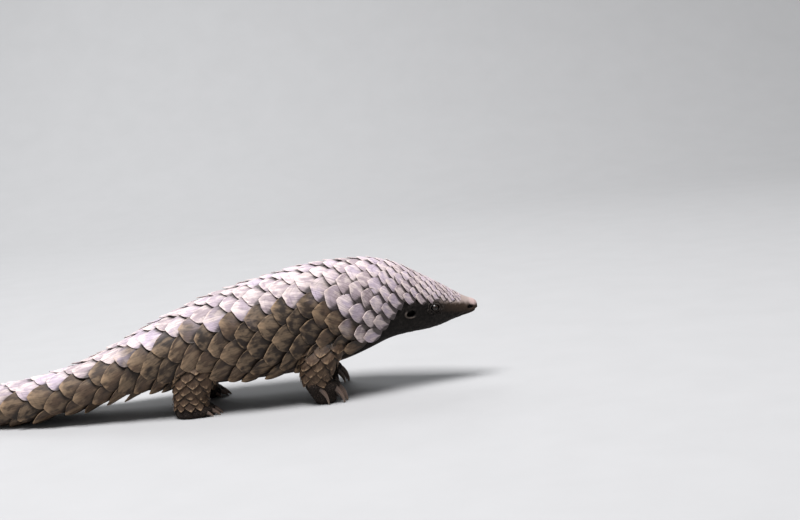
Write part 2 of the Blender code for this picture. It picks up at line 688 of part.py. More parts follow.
def add_lips(trunk, collection):
    """An upper and a lower lip, from corner to corner round the snout, with the mouth line between them."""
    for lift, radius, tuck in LIPS:
        line = []
        for side, stretch in ((-1, MOUTH), (1, MOUTH[::-1])):
            for behind, height in stretch:
                point, frame = surface_frame(trunk, behind * MM, height * MM, side)
                line.append(point + Vector((0, 0, lift * MM)) - frame.col[2] * LIP_SUNK)
            if side < 0:
                line.append(Vector((NOSE_X - tuck * MM, 0.0, (MOUTH_FRONT + lift) * MM)))
        ends = [LIP_END]
        tube("lip", line, ends + [radius * MM] * (len(line) - 2) + ends, 1, collection)


def face_cuts(head, trunk, animal, cutters, eye_material, ear_material):
    """Eyes and ears in sockets a gap wider than themselves, and the nostrils."""
    for side, word in ((-1, "right"), (1, "left")):
        point, frame = surface_frame(trunk, EYE_BEHIND_NOSE, EYE_HEIGHT, side)
        centre = point - frame.col[2] * EYE_SUNK
        reach = Vector((EYE_RADIUS, EYE_RADIUS, EYE_RADIUS))
        eye = ball(f"eye_{word}", centre, reach, frame, animal, 12, 8)
        eye.data.shade_smooth()
        eye.data.materials.append(eye_material)
        grown = reach + Vector((GAP, GAP, GAP)) * EYE_ROOM
        apply_boolean(head, "DIFFERENCE", cutter=ball("socket", centre, grown, frame, cutters, 10, 6))

        point, frame = surface_frame(trunk, EAR_BEHIND_NOSE, EAR_HEIGHT, side)
        frame = frame @ Matrix.Rotation(-EAR_LEAN * side, 3, "Z")
        grown = EAR_REACH + Vector((GAP, GAP, GAP)) * EAR_ROOM
        apply_boolean(head, "DIFFERENCE", cutter=ball("socket", point, grown, frame, cutters, 10, 6))
        ear = ball(f"ear_{word}", point, EAR_REACH, frame, animal, 10, 6)
        hollow = ball("hollow", point + frame.col[2] * EAR_REACH.z, EAR_HOLLOW, frame, cutters, 8, 5)
        apply_boolean(ear, "DIFFERENCE", cutter=hollow)
        ear.data.materials.append(ear_material)

        point, frame = surface_frame(trunk, NOSTRIL[0] * MM, NOSTRIL[1] * MM, side)
        pit = ball("nostril", point, NOSTRIL_REACH, frame, cutters, 6, 4)
        apply_boolean(head, "DIFFERENCE", cutter=pit)


def main():
    for obj in list(bpy.data.objects):
        bpy.data.objects.remove(obj)
    rng = random.Random(SEED)
    scene = bpy.context.scene.collection
    animal = bpy.data.collections.new("ground_pangolin")
    joined = bpy.data.collections.new("joined_pieces")
    cutters = bpy.data.collections.new("cutters")
    for collection in (animal, joined, cutters):
        scene.children.link(collection)
    horn, skin, claw_horn, eye_dark = (material(name) for name in COLOURS)

    trunk = trunk_limb()
    coat = trunk_coat(trunk)
    template, places = scale_template()
    whole = loft("whole", trunk, np.array(SPINE) * MM, TRUNK_SIDES, joined, coat.bed)
    joined.objects.unlink(whole)
    cutters.objects.link(whole)
    coat.set_scales(template, places, rng, joined)

    feet = []
    for kind, table, toes, height, lowest, box in LEGS:
        for side, word in ((-1, "right"), (1, "left")):
            limb = leg_limb(table, side)
            leg_scales = leg_coat(limb, lowest * MM)
            steps = np.linspace(0.0, limb.along[-1], LEG_STEPS)
            loft("leg", limb, steps, LEG_SIDES, joined, leg_scales.bed)
            leg_scales.set_scales(template, places, rng, joined)
            place = Vector((table[-1][1], table[-1][2] * side, 0.0)) * MM
            for ahead, out, up, radius, *_ in toes:
                centre = place + Vector((ahead, out * side, up)) * MM
                reach = Vector((TOE_STRETCH, 1.0, 1.0)) * radius * MM
                ball("toe", centre, reach, Matrix.Rotation(TOE_TILT, 3, "Y"), joined, 6, 4)
            feet.append((kind, word, side, toes, place, height * MM, box))
    for side in (-1, 1):
        add_lids(trunk, side, joined)
    add_lips(trunk, joined)

    apply_boolean(whole, "UNION", collection=joined)
    empty_collection(joined)
    keep_largest(whole)
    close_short_edges(whole, SHORT_EDGE)
    apply_boolean(whole, "DIFFERENCE", cutter=block("floor", (-0.6, -0.4, -0.1), (0.4, 0.4, 0.0), cutters))

    for kind, word, side, toes, place, height, reach in feet:
        name = f"{kind}leg_{word}"
        leg = cut_out(whole, leg_box("region", reach, side, 0.0, cutters), name, animal)
        apply_boolean(whole, "DIFFERENCE", cutter=leg_box("region", reach, side, GAP, cutters))
        low = block("low", (-0.3, -0.1, -0.01), (0.1, 0.1, height - GAP / 2), cutters)
        high = block("high", (-0.3, -0.1, height + GAP / 2), (0.1, 0.1, 0.2), cutters)
        foot = cut_out(leg, low, f"{kind}foot_{word}", animal)
        apply_boolean(leg, "INTERSECT", cutter=high)
        keep_largest(leg)
        claws_of(foot, toes, place, side, f"{kind}foot_{word}", claw_horn, animal, cutters)
        keep_largest(foot)
        for piece in (leg, foot):
            piece.data.materials.append(horn)

    ends = [0.0, *(cut * MM for cut in CUTS), TAIL_TIP]
    for name, start, end in zip(TRUNK_NODES, ends, ends[1:]):
        piece = part_between(whole, trunk, start, end, name, animal, cutters)
        if name == "head":
            face_cuts(piece, trunk, animal, cutters, eye_dark, skin)
            keep_largest(piece)
        piece.data.materials.append(horn)

    root = bpy.data.objects.new("pangolin", None)
    scene.objects.link(root)
    root.location = -ORIGIN
    for obj in animal.objects:
        obj.parent = root
    bpy.data.meshes.remove(template)
    empty_collection(cutters)


main()
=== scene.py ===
# %% [markdown]
# # A young ground pangolin at life size
#
# A pangolin is a mammal in armour. Horn scales overlap from the snout to the tail tip like the tiles of a
# roof, and only the face, the belly and the soles stay bare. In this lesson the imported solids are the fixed
# frame, and the looks are built round them: one skin, a coat of scales, claws, eyes, and a quiet studio.

# %% Load the fixed frame
import json
import math

import bpy
import numpy as np
from mathutils import Matrix, Vector, kdtree, noise

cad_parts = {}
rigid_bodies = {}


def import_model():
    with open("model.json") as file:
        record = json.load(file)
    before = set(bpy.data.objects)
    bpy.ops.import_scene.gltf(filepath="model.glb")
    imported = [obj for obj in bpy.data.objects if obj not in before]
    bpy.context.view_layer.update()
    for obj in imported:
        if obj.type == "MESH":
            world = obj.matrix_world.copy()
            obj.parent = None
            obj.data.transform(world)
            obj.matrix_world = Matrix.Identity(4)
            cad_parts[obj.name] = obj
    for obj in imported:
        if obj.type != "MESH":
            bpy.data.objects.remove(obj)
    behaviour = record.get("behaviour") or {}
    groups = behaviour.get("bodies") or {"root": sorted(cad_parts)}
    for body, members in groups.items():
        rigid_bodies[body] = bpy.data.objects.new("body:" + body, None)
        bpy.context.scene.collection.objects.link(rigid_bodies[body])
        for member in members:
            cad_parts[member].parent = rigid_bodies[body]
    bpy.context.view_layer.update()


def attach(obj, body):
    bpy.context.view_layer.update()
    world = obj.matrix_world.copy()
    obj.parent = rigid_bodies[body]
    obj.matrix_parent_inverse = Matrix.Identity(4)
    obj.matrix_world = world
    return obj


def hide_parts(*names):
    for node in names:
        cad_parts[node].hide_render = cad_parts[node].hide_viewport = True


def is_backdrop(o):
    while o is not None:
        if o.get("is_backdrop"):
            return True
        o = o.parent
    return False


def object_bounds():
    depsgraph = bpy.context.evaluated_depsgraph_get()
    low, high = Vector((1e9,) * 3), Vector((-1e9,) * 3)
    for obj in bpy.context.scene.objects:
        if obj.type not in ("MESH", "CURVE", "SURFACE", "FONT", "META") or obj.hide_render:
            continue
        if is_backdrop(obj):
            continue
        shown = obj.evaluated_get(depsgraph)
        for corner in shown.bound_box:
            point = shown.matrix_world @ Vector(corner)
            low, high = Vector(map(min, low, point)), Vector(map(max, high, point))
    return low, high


for old in list(bpy.data.objects):
    bpy.data.objects.remove(old)

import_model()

MM = 0.001

# %% [markdown]
# ## The view
#
# The photograph looks at the animal's right side, from a little above, and the animal is tipped so that its
# rump hangs lower than its nose. The model stands level on the floor, so the camera takes the tip: it rolls
# a few degrees. A long lens from over a metre away keeps the flat look of the photograph.

# %% Put the camera where the photographer stood
BODY_AT = Vector((131.9, -29.9, 0.0)) * MM
LOOK_AT = BODY_AT + Vector((63.8, -42.0, 111.0)) * MM
CAMERA_AWAY = 1.2
CAMERA_RISE, CAMERA_ROLL = math.radians(8), math.radians(6)
PIXEL = 0.8 * MM
PHOTO_WIDTH = 800
SENSOR = 36.0

back = Vector((0.0, -math.cos(CAMERA_RISE), math.sin(CAMERA_RISE)))
bpy.ops.object.camera_add(location=LOOK_AT + back * CAMERA_AWAY)
camera = bpy.context.object
camera.name = "photo_camera"
camera.rotation_mode = "QUATERNION"
level = (-back).to_track_quat("-Z", "Y")
camera.rotation_quaternion = level @ Matrix.Rotation(-CAMERA_ROLL, 3, "Z").to_quaternion()
camera.data.sensor_width = SENSOR
camera.data.lens = SENSOR * CAMERA_AWAY / (PHOTO_WIDTH * PIXEL)
bpy.context.scene.camera = camera
print("lens", round(camera.data.lens, 1), "mm, from", round(CAMERA_AWAY, 2), "m")

# %% [markdown]
# ## The body as a formula
#
# A body could be pushed about by hand, but every scale has to know where the skin is and which way it
# faces. So the trunk is a path with a changing section: at each distance behind the nose it has a top, a
# bottom and a half width, and the section is an ellipse that may be squarer. The same class later makes
# the legs and the claws, which are only shorter paths. These sizes are the ones the solids were built from.

# %% Sections of the trunk
NOSE_X = 124.0 * MM
TRUNK = [
    (0.0, 63.4, 60.0, 2.3, 0.50, 2.0),
    (1.4, 65.4, 58.2, 4.1, 0.50, 2.0),
    (4.0, 67.0, 56.5, 5.3, 0.50, 2.0),
    (8.0, 68.6, 55.0, 6.2, 0.50, 2.0),
    (13.5, 71.6, 53.9, 7.7, 0.50, 2.0),
    (20.5, 76.2, 51.8, 10.1, 0.50, 2.0),
    (28.0, 81.2, 49.3, 13.1, 0.50, 2.05),
    (35.0, 85.6, 47.4, 15.8, 0.50, 2.1),
    (42.5, 90.2, 46.0, 18.5, 0.50, 2.1),
    (51.0, 95.2, 45.2, 21.2, 0.50, 2.1),
    (63.5, 102.2, 44.0, 25.4, 0.49, 2.1),
    (76.5, 107.2, 41.2, 30.4, 0.48, 2.15),
    (90.5, 109.4, 36.0, 36.0, 0.46, 2.2),
    (107.5, 110.2, 30.2, 41.0, 0.45, 2.25),
    (124.5, 109.6, 26.2, 44.4, 0.44, 2.3),
    (142.5, 107.6, 23.6, 46.6, 0.44, 2.3),
    (162.5, 104.0, 21.8, 48.0, 0.44, 2.3),
    (185.5, 99.6, 21.0, 48.8, 0.44, 2.3),
    (210.5, 94.0, 20.6, 48.4, 0.44, 2.3),
    (232.5, 87.6, 20.4, 46.6, 0.44, 2.3),
    (254.5, 79.6, 20.4, 43.8, 0.43, 2.3),
    (274.5, 71.2, 19.8, 40.8, 0.42, 2.25),
    (292.5, 63.0, 18.0, 38.0, 0.41, 2.2),
    (308.0, 56.0, 15.2, 35.8, 0.40, 2.2),
    (333.0, 46.8, 10.0, 33.8, 0.39, 2.2),
    (358.0, 39.8, 5.4, 32.0, 0.38, 2.2),
    (388.0, 33.6, 1.6, 29.8, 0.38, 2.2),
    (418.0, 29.0, -0.4, 27.2, 0.38, 2.2),
    (448.0, 25.4, -0.6, 24.4, 0.38, 2.2),
    (478.0, 21.8, -0.6, 21.4, 0.38, 2.2),
    (508.0, 17.6, -0.4, 17.4, 0.40, 2.2),
    (530.0, 13.2, 0.6, 12.8, 0.42, 2.1),
    (542.0, 9.2, 2.0, 7.4, 0.45, 2.0),
    (547.0, 7.0, 4.0, 2.4, 0.50, 2.0),
]
TAIL_BASE, TAIL_TIP = 308.0 * MM, 547.0 * MM
TAIL_TURN = math.radians(58.0)
TAIL_BENDS_FROM, TAIL_BEND_POWER = 20.0 * MM, 1.4


def smooth_through(knots, values, at):
    """Each column of values as a smooth curve through its knots."""
    knots, values = np.asarray(knots, float), np.asarray(values, float)
    slopes = np.gradient(values, knots, axis=0)
    at = np.clip(at, knots[0], knots[-1])
    i = np.clip(np.searchsorted(knots, at) - 1, 0, len(knots) - 2)
    span = knots[i + 1] - knots[i]
    t = ((at - knots[i]) / span)[:, None]
    step = (slopes[i] * (1 - t) - slopes[i + 1] * t) * span[:, None]
    blend = t * t * (3 - 2 * t)
    return values[i] * (1 - blend) + values[i + 1] * blend + t * (1 - t) * step


# %% A limb: a path with a section that changes along it
class Limb:
    """A smooth surface round a path, read by distance along the path and by girth from its middle line."""

    HALF_STEPS = 48

    def __init__(self, along, centres, sides, ups, reaches, squareness):
        self.along, self.centres = along, centres
        half_width, reach_up, reach_down = reaches.T
        angle = np.linspace(0.0, math.pi, 241)
        power = 2.0 / squareness[:, None]
        across = half_width[:, None] * np.abs(np.sin(angle)) ** power
        lift = np.abs(np.cos(angle)) ** power
        lift = np.where(np.cos(angle) > 0, reach_up[:, None] * lift, -reach_down[:, None] * lift)
        steps = np.hypot(np.diff(across, axis=1), np.diff(lift, axis=1))
        arc = np.concatenate([np.zeros((len(along), 1)), np.cumsum(steps, axis=1)], axis=1)
        self.half_girth = arc[:, -1]
        share = np.linspace(0.0, 1.0, self.HALF_STEPS + 1)
        half = np.array([
            np.stack([np.interp(share * row[-1], row, a), np.interp(share * row[-1], row, b)], axis=1)
            for row, a, b in zip(arc, across, lift)
        ])
        both = np.concatenate([half[:, :0:-1] * (-1, 1), half], axis=1)
        self.points = (
            centres[:, None] + sides[:, None] * both[..., :1] + ups[:, None] * both[..., 1:]
        )
        down_path = np.gradient(self.points, along, axis=0)
        round_girth = np.gradient(self.points, axis=1)
        normals = np.cross(down_path, round_girth)
        normals /= np.linalg.norm(normals, axis=2, keepdims=True) + 1e-12
        outward = np.sum(normals * (self.points - centres[:, None]), axis=2, keepdims=True)
        self.normals = normals * np.where(outward.sum() < 0, -1.0, 1.0)

    def half_at(self, along):
        """Half of the girth at these distances."""
        return np.interp(along, self.along, self.half_girth)

    def at(self, along, girth):
        """(points, outward normals) at these distances along the path and girths, as arrays."""
        along, girth = np.broadcast_arrays(np.asarray(along, float), np.asarray(girth, float))
        row = np.interp(along, self.along, np.arange(len(self.along)))
        share = np.clip(girth / self.half_at(along), -1.0, 1.0)
        column = (share + 1.0) * self.HALF_STEPS
        i = np.clip(row.astype(int), 0, len(self.along) - 2)
        j = np.clip(column.astype(int), 0, 2 * self.HALF_STEPS - 1)
        u, v = (row - i)[..., None], (column - j)[..., None]
        points, normals = (
            grid[i, j] * (1 - u) * (1 - v) + grid[i + 1, j] * u * (1 - v)
            + grid[i, j + 1] * (1 - u) * v + grid[i + 1, j + 1] * u * v
            for grid in (self.points, self.normals)
        )
        return points, normals / np.linalg.norm(normals, axis=-1, keepdims=True)

    def girth_at_height(self, along, height, side):
        """The girth on one side, +1 or -1, where the section reaches this height."""
        girths = np.linspace(0.02, 0.9, 200) * self.half_at(along) * side
        heights = self.at(along, girths)[0][:, 2]
        return girths[np.argmin(np.abs(heights - height))]


def trunk_limb():
    """From snout to tail tip. The path runs level backwards, and turns left along the tail."""
    table = np.array(TRUNK)
    table[:, :4] *= MM
    along = np.arange(0.0, TAIL_TIP + 0.5 * MM, 1.0 * MM)
    top, bottom, half_width, widest, squareness = smooth_through(table[:, 0], table[:, 1:], along).T
    share = np.clip((along - TAIL_BASE + TAIL_BENDS_FROM) / (TAIL_TIP - TAIL_BASE), 0.0, 1.0)
    heading = TAIL_TURN * share ** TAIL_BEND_POWER
    step = np.gradient(along)
    x = NOSE_X - np.cumsum(np.cos(heading) * step) + step[0]
    y = np.cumsum(np.sin(heading) * step)
    middle = bottom + widest * (top - bottom)
    centres = np.stack([x, y, middle], axis=1) + np.array(BODY_AT)
    sides = np.stack([np.sin(heading), np.cos(heading), np.zeros_like(x)], axis=1)
    ups = np.tile((0.0, 0.0, 1.0), (len(along), 1))
    reaches = np.stack([half_width, top - middle, middle - bottom], axis=1)
    return Limb(along, centres, sides, ups, reaches, squareness)


trunk = trunk_limb()
print("trunk", round(trunk.along[-1] / MM), "mm long, girth", round(2 * trunk.half_girth.max() / MM), "mm")

# %% [markdown]
# ## Legs and feet
#
# The legs are short, straight limbs of the same kind, read from the shoulder or hip down to a flat sole.
# Each toe is a plump ellipsoid at the front of the foot, and its claw starts inside it.

# %% Sections of the legs, and the toes
FORELEG = [
    (60.0, -1.0, 26.0, 20.0, 13.0, 12.0),
    (48.0, -5.0, 31.5, 19.0, 13.5, 13.0),
    (37.0, -9.0, 35.5, 17.0, 13.2, 12.5),
    (28.0, -12.0, 36.5, 14.2, 12.0, 11.5),
    (21.0, -14.0, 36.5, 12.0, 10.6, 10.4),
    (15.0, -12.6, 36.3, 11.4, 10.2, 10.2),
    (9.0, -10.2, 36.0, 10.4, 9.6, 10.0),
    (4.0, -8.4, 35.6, 9.6, 8.8, 9.6),
    (1.2, -7.8, 35.5, 8.8, 8.2, 9.0),
    (0.0, -7.8, 35.5, 7.8, 7.4, 8.2),
]
HINDLEG = [
    (56.0, -103.0, 24.5, 24.0, 14.5, 13.0),
    (44.0, -107.0, 29.5, 22.0, 15.0, 14.0),
    (34.0, -110.5, 32.5, 19.5, 14.5, 13.5),
    (25.0, -114.0, 34.0, 16.4, 13.2, 12.8),
    (17.0, -116.5, 34.0, 14.2, 12.4, 12.4),
    (10.0, -117.0, 34.0, 14.2, 12.6, 12.6),
    (4.0, -116.5, 34.0, 15.0, 13.2, 13.2),
    (1.2, -116.5, 34.0, 14.4, 12.6, 12.6),
    (0.0, -116.5, 34.0, 13.4, 11.8, 11.8),
]
FORE_TOES = [
    (3.0, -8.4, 7.4, 3.0, 7.0, 1.3, 0.8),
    (5.0, -4.8, 12.6, 3.8, 13.0, 2.2, 1.0),
    (6.6, 0.4, 14.4, 4.3, 15.6, 2.7, 1.0),
    (5.0, 6.2, 14.2, 4.1, 15.2, 2.5, 1.0),
    (-7.6, 8.8, 15.6, 3.7, 15.6, 2.2, 1.0),
]
HIND_TOES = [
    (9.0, -9.4, 4.6, 3.2, 6.0, 1.7, 0.5),
    (12.4, -5.0, 5.2, 3.6, 7.6, 2.1, 0.5),
    (13.4, 0.0, 5.4, 3.8, 8.2, 2.2, 0.5),
    (12.4, 5.0, 5.2, 3.6, 7.6, 2.1, 0.5),
    (9.0, 9.4, 4.6, 3.2, 6.0, 1.7, 0.5),
]
LEG_SQUARENESS = 2.15
SIDES = {"right": -1, "left": 1}


def leg_limb(table, side):
    """A leg's surface from inside the trunk down to the sole, with its middle line down its outer side."""
    table = np.array(table) * MM
    drop = table[0, 0] - table[:, 0]
    along = np.append(np.arange(0.0, drop[-1], 1.0 * MM), drop[-1])
    height, x, out, fore_aft, outwards, inwards = smooth_through(drop, table, along).T
    centres = np.stack([x, out * side, height], axis=1) + np.array(BODY_AT)
    sides = np.tile((1.0, 0.0, 0.0), (len(along), 1))
    ups = np.tile((0.0, float(side), 0.0), (len(along), 1))
    reaches = np.stack([fore_aft, outwards, inwards], axis=1)
    return Limb(along, centres, sides, ups, reaches, np.full(len(along), LEG_SQUARENESS))


legs = {
    (kind, word): (leg_limb(table, side), side, toes, Vector((table[-1][1], table[-1][2] * side, 0.0)) * MM)
    for kind, table, toes in (("fore", FORELEG, FORE_TOES), ("hind", HINDLEG, HIND_TOES))
    for word, side in SIDES.items()
}
print(len(legs), "legs with", sum(len(leg[2]) for leg in legs.values()), "toes")

# %% [markdown]
# ## The lie of the scales
#
# On the animal the scales stand in staggered rings, each tip over the gap between two scales of the next
# ring. They could be scattered by a physics toy or painted one by one, but a lattice in the body's own
# coordinates does what growth does: rows fan out from the snout, and the spacing grows with the body.
# The skin sinks a little under the coat, as a bed, so that the roots lie below the bare skin beside them.

# %% How far the coat reaches and how its spacing grows
COVER = [
    (13.0, 0.33), (20.0, 0.38), (32.0, 0.43), (42.0, 0.445), (54.0, 0.455), (62.5, 0.53), (74.0, 0.66),
    (84.0, 0.76), (92.0, 0.80), (240.0, 0.78), (290.0, 0.79), (330.0, 0.82), (390.0, 0.76), (547.0, 0.74),
]
SPACING = [
    (13.0, 1.8, 1.9), (21.0, 2.3, 2.4), (29.0, 2.9, 3.1), (40.0, 3.8, 4.2), (49.0, 4.5, 4.9),
    (58.0, 5.4, 5.6), (66.0, 6.2, 6.3), (78.0, 7.4, 7.4), (93.0, 8.8, 8.7), (110.0, 10.0, 9.9),
    (128.0, 10.8, 10.6), (270.0, 11.2, 11.0), (330.0, 11.4, 12.0), (440.0, 10.8, 12.4), (515.0, 8.2, 10.4),
    (547.0, 6.2, 8.0),
]
FIRST_SCALES, LAST_SCALES = 13.5 * MM, 5.0 * MM
RISE_OF_SPACING = 0.20
BED_DEPTH, BED_MARGIN = 1.15, 0.8
LEG_SCALES_FROM, LEG_COVER = 12.0 * MM, 0.80
LEG_SPACING = [(12.0, 6.8, 6.4), (22.0, 5.6, 5.6), (34.0, 4.6, 4.8), (44.0, 3.9, 4.2), (60.0, 3.6, 3.8)]
LOWEST_LEG_SCALES = {"fore": 16.0 * MM, "hind": 8.0 * MM}


class Coat:
    """The scales' lattice on one limb: how far it reaches, its spacing, and the bed that it lies in."""

    def __init__(self, limb, start, end, cover, spacing):
        self.limb, self.start, self.end = limb, start, end
        self.cover_at, self.cover_share = np.array(cover).T
        self.spaced_at, self.rows, self.rings = np.array(spacing).T

    def cover(self, along):
        """How much of the girth on each side has scales."""
        return self.limb.half_at(along) * np.interp(along / MM, self.cover_at, self.cover_share)

    def spacing(self, along):
        """The distance from row to row and from ring to ring, and how far a scale rises."""
        row = np.interp(along / MM, self.spaced_at, self.rows) * MM
        return row, np.interp(along / MM, self.spaced_at, self.rings) * MM, row * RISE_OF_SPACING

    def bed(self, along, girth):
        """How deep the skin lies under the limb's surface."""
        row, ring, rise = self.spacing(along)
        under = np.clip((self.cover(along) - np.abs(girth)) / row + BED_MARGIN, 0.0, 1.0)
        ends = np.clip(np.minimum(along - self.start, self.end + ring - along) / (1.5 * ring), 0.0, 1.0)
        return under * ends * BED_DEPTH * rise

    def places(self):
        """A row for each scale: distance along, girth, and its spacings and rise."""
        found, along, count = [], self.start, 0
        while along < self.end:
            row, ring, rise = self.spacing(along)
            last = int(self.cover(along) / row)
            for j in range(-last, last + 1):
                if (j + count) % 2 == 0:
                    found.append((along, j * row, row, ring, rise))
            along += ring
            count += 1
        return np.array(found)


trunk_coat = Coat(trunk, FIRST_SCALES, TAIL_TIP - LAST_SCALES, COVER, SPACING)
leg_coats = {
    key: Coat(
        limb, LEG_SCALES_FROM, limb.along[-1] - LOWEST_LEG_SCALES[key[0]], [(0.0, LEG_COVER)], LEG_SPACING
    )
    for key, (limb, *_) in legs.items()
}
print("scales on the trunk", len(trunk_coat.places()))
print("scales on each foreleg", len(leg_coats["fore", "right"].places()))

# %% [markdown]
# ## The skin
#
# One skin runs under the whole coat and shows on the face, belly, feet and between the scales. A single
# cage could be modelled and subdivided, but the legs would need their loops planned by hand. Here each
# limb is a grid primitive rolled into a closed tube, the tubes overlap, and a voxel remesh melts them into
# one surface with soft armpits. Fine detail comes after it, because a remesh would wipe it away.

# %% Small helpers for modelling by operators
def deselect_all():
    bpy.ops.object.select_all(action="DESELECT")


def read_places(obj):
    co = np.empty(len(obj.data.vertices) * 3)
    obj.data.vertices.foreach_get("co", co)
    return co.reshape(-1, 3)


def write_places(obj, places):
    obj.data.vertices.foreach_set("co", np.asarray(places, np.float32).ravel())
    obj.data.update()


def read_normals(obj):
    normals = np.empty(len(obj.data.vertices) * 3)
    obj.data.vertex_normals.foreach_get("vector", normals)
    return normals.reshape(-1, 3)


def apply_modifier(obj, kind, **settings):
    """Adds one modifier to the active object and applies it."""
    modifier = obj.modifiers.new(kind.lower(), kind)
    for name, value in settings.items():
        setattr(modifier, name, value)
    bpy.context.view_layer.objects.active = obj
    bpy.ops.object.modifier_apply(modifier=modifier.name)


def select_only(obj):
    deselect_all()
    obj.select_set(True)
    bpy.context.view_layer.objects.active = obj


def smooth_step(value, low, high):
    t = np.clip((value - low) / (high - low), 0.0, 1.0)
    return t * t * (3 - 2 * t)


def rolled_tube(name, limb, alongs, columns, bed=None):
    """A grid primitive rolled round a limb, its seam merged and its two ends closed."""
    deselect_all()
    bpy.ops.mesh.primitive_grid_add(x_subdivisions=len(alongs) - 1, y_subdivisions=columns, size=2.0)
    tube = bpy.context.object
    tube.name = tube.data.name = name
    flat = read_places(tube)
    along = np.asarray(alongs)[np.rint((flat[:, 0] + 1) / 2 * (len(alongs) - 1)).astype(int)]
    girth = flat[:, 1] * limb.half_at(along)
    points, normals = limb.at(along, girth)
    if bed:
        points = points - normals * bed(along, girth)[:, None]
    write_places(tube, points)
    bpy.ops.object.mode_set(mode="EDIT")
    bpy.ops.mesh.select_all(action="SELECT")
    bpy.ops.mesh.remove_doubles(threshold=0.001 * MM)
    bpy.ops.mesh.fill_holes(sides=0)
    bpy.ops.mesh.select_all(action="SELECT")
    bpy.ops.mesh.normals_make_consistent(inside=False)
    bpy.ops.object.mode_set(mode="OBJECT")
    return tube


# %% Roll the trunk and legs, add the toes, and melt them together
VOXEL = 1.5 * MM
TOE_STRETCH = Vector((1.35, 1.0, 1.0))
TOE_DROOP = math.radians(14)
TOE_SWELL = 1.13


def plump_toe(centre, radius):
    bpy.ops.mesh.primitive_uv_sphere_add(
        segments=20, ring_count=12, radius=radius * TOE_SWELL, location=centre,
        rotation=(0.0, TOE_DROOP, 0.0), scale=TOE_STRETCH,
    )
    return bpy.context.object


head_rings = np.arange(0.0, 60.0, 1.0)
body_rings = np.arange(60.0, 547.5, 2.5)
flesh = [rolled_tube("skin", trunk, np.append(head_rings, body_rings) * MM, 120, trunk_coat.bed)]
for key, (limb, side, toes, foot) in legs.items():
    rings = np.append(np.arange(0.0, limb.along[-1] / MM - 0.5, 1.5), limb.along[-1] / MM) * MM
    flesh.append(rolled_tube("leg", limb, rings, 60, leg_coats[key].bed))
    for ahead, out, up, radius, *_ in toes:
        flesh.append(plump_toe(BODY_AT + foot + Vector((ahead, out * side, up)) * MM, radius * MM))
skin = flesh[0]
select_only(skin)
for piece in flesh:
    piece.select_set(True)
bpy.ops.object.join()
bpy.ops.object.transform_apply(location=True, rotation=True, scale=True)
apply_modifier(skin, "REMESH", mode="VOXEL", voxel_size=VOXEL)
apply_modifier(skin, "SMOOTH", factor=0.5, iterations=5)
print("skin", len(skin.data.polygons), "faces after the melt")

# %% [markdown]
# ## The head
#
# The head gets the most care. Its bare part is cut finer twice, and a third time round the eyes, and each
# point is then set back exactly on the trunk's formula, which the remesh had blurred. The lids, ear,
# nostril, lips and folds are heights over that surface, each a short formula of the distance from its
# middle, the way a sculptor would build them up with small strips of clay.

# %% Refine the face
FACE_END = 68.0 * MM
EYE_BEHIND, EYE_HEIGHT, EYE_RADIUS, EYE_SUNK = 35.5 * MM, 64.9 * MM, 3.1 * MM, 1.3 * MM
EAR_BEHIND, EAR_HEIGHT = 55.6 * MM, 63.0 * MM
NOSTRIL_BEHIND, NOSTRIL_HEIGHT = 6.3 * MM, 61.0 * MM
MOUTH = [(19.0, 53.8), (14.5, 55.3), (10.5, 56.3), (6.5, 57.2), (3.4, 58.0), (1.0, 58.5)]


def behind_nose(places):
    """How far behind the nose tip points of the head lie."""
    return NOSE_X + BODY_AT.x - places[:, 0]


def face_frame(behind, height, side):
    """A point on the trunk's skin with its forward, upward and outward directions."""
    girth = trunk.girth_at_height(behind, height, side)
    point, normal = trunk.at(behind, girth)
    forward = np.array((1.0, 0.0, 0.0)) - normal * normal[0]
    forward /= np.linalg.norm(forward)
    up = np.cross(normal, forward)
    return point, forward, up * np.sign(up[2]), normal


def subdivide_where(obj, chosen, cuts):
    """Cuts finer the faces whose middles the test picks."""
    middles = np.empty(len(obj.data.polygons) * 3)
    obj.data.polygons.foreach_get("center", middles)
    picked = chosen(middles.reshape(-1, 3))
    select_only(obj)
    bpy.ops.object.mode_set(mode="EDIT")
    bpy.ops.mesh.select_mode(type="FACE")
    bpy.ops.mesh.select_all(action="DESELECT")
    bpy.ops.object.mode_set(mode="OBJECT")
    obj.data.polygons.foreach_set("select", picked)
    bpy.ops.object.mode_set(mode="EDIT")
    bpy.ops.mesh.subdivide(number_cuts=cuts, smoothness=0.0)
    bpy.ops.object.mode_set(mode="OBJECT")
    return int(picked.sum())


def bare_face(middles):
    behind = behind_nose(middles)
    crown = np.interp(behind / MM, (16.0, 35.0, 54.0, 68.0), (90.0, 77.0, 75.0, 73.0)) * MM
    return (behind < FACE_END) & (middles[:, 2] < crown)


eyes_at = [face_frame(EYE_BEHIND, EYE_HEIGHT, side) for side in SIDES.values()]
ears_at = [face_frame(EAR_BEHIND, EAR_HEIGHT, side) for side in SIDES.values()]


def near_any(frames, reach):
    return lambda middles: np.min([np.linalg.norm(middles - f[0], axis=1) for f in frames], axis=0) < reach


print("face", subdivide_where(skin, bare_face, 2), "faces cut finer")
print("eyes", subdivide_where(skin, near_any(eyes_at, 7.5 * MM), 1), "faces cut finer again")

# %% Set the head back on its formula
HOLD_FROM, HOLD_TO = (1.5 * MM, 4.0 * MM), (60.0 * MM, 72.0 * MM)

tree_rows = np.arange(0, 90)
tree = kdtree.KDTree(len(tree_rows) * trunk.points.shape[1])
columns = trunk.points.shape[1]
for i in tree_rows:
    for j in range(columns):
        tree.insert(trunk.points[i, j], i * columns + j)
tree.balance()


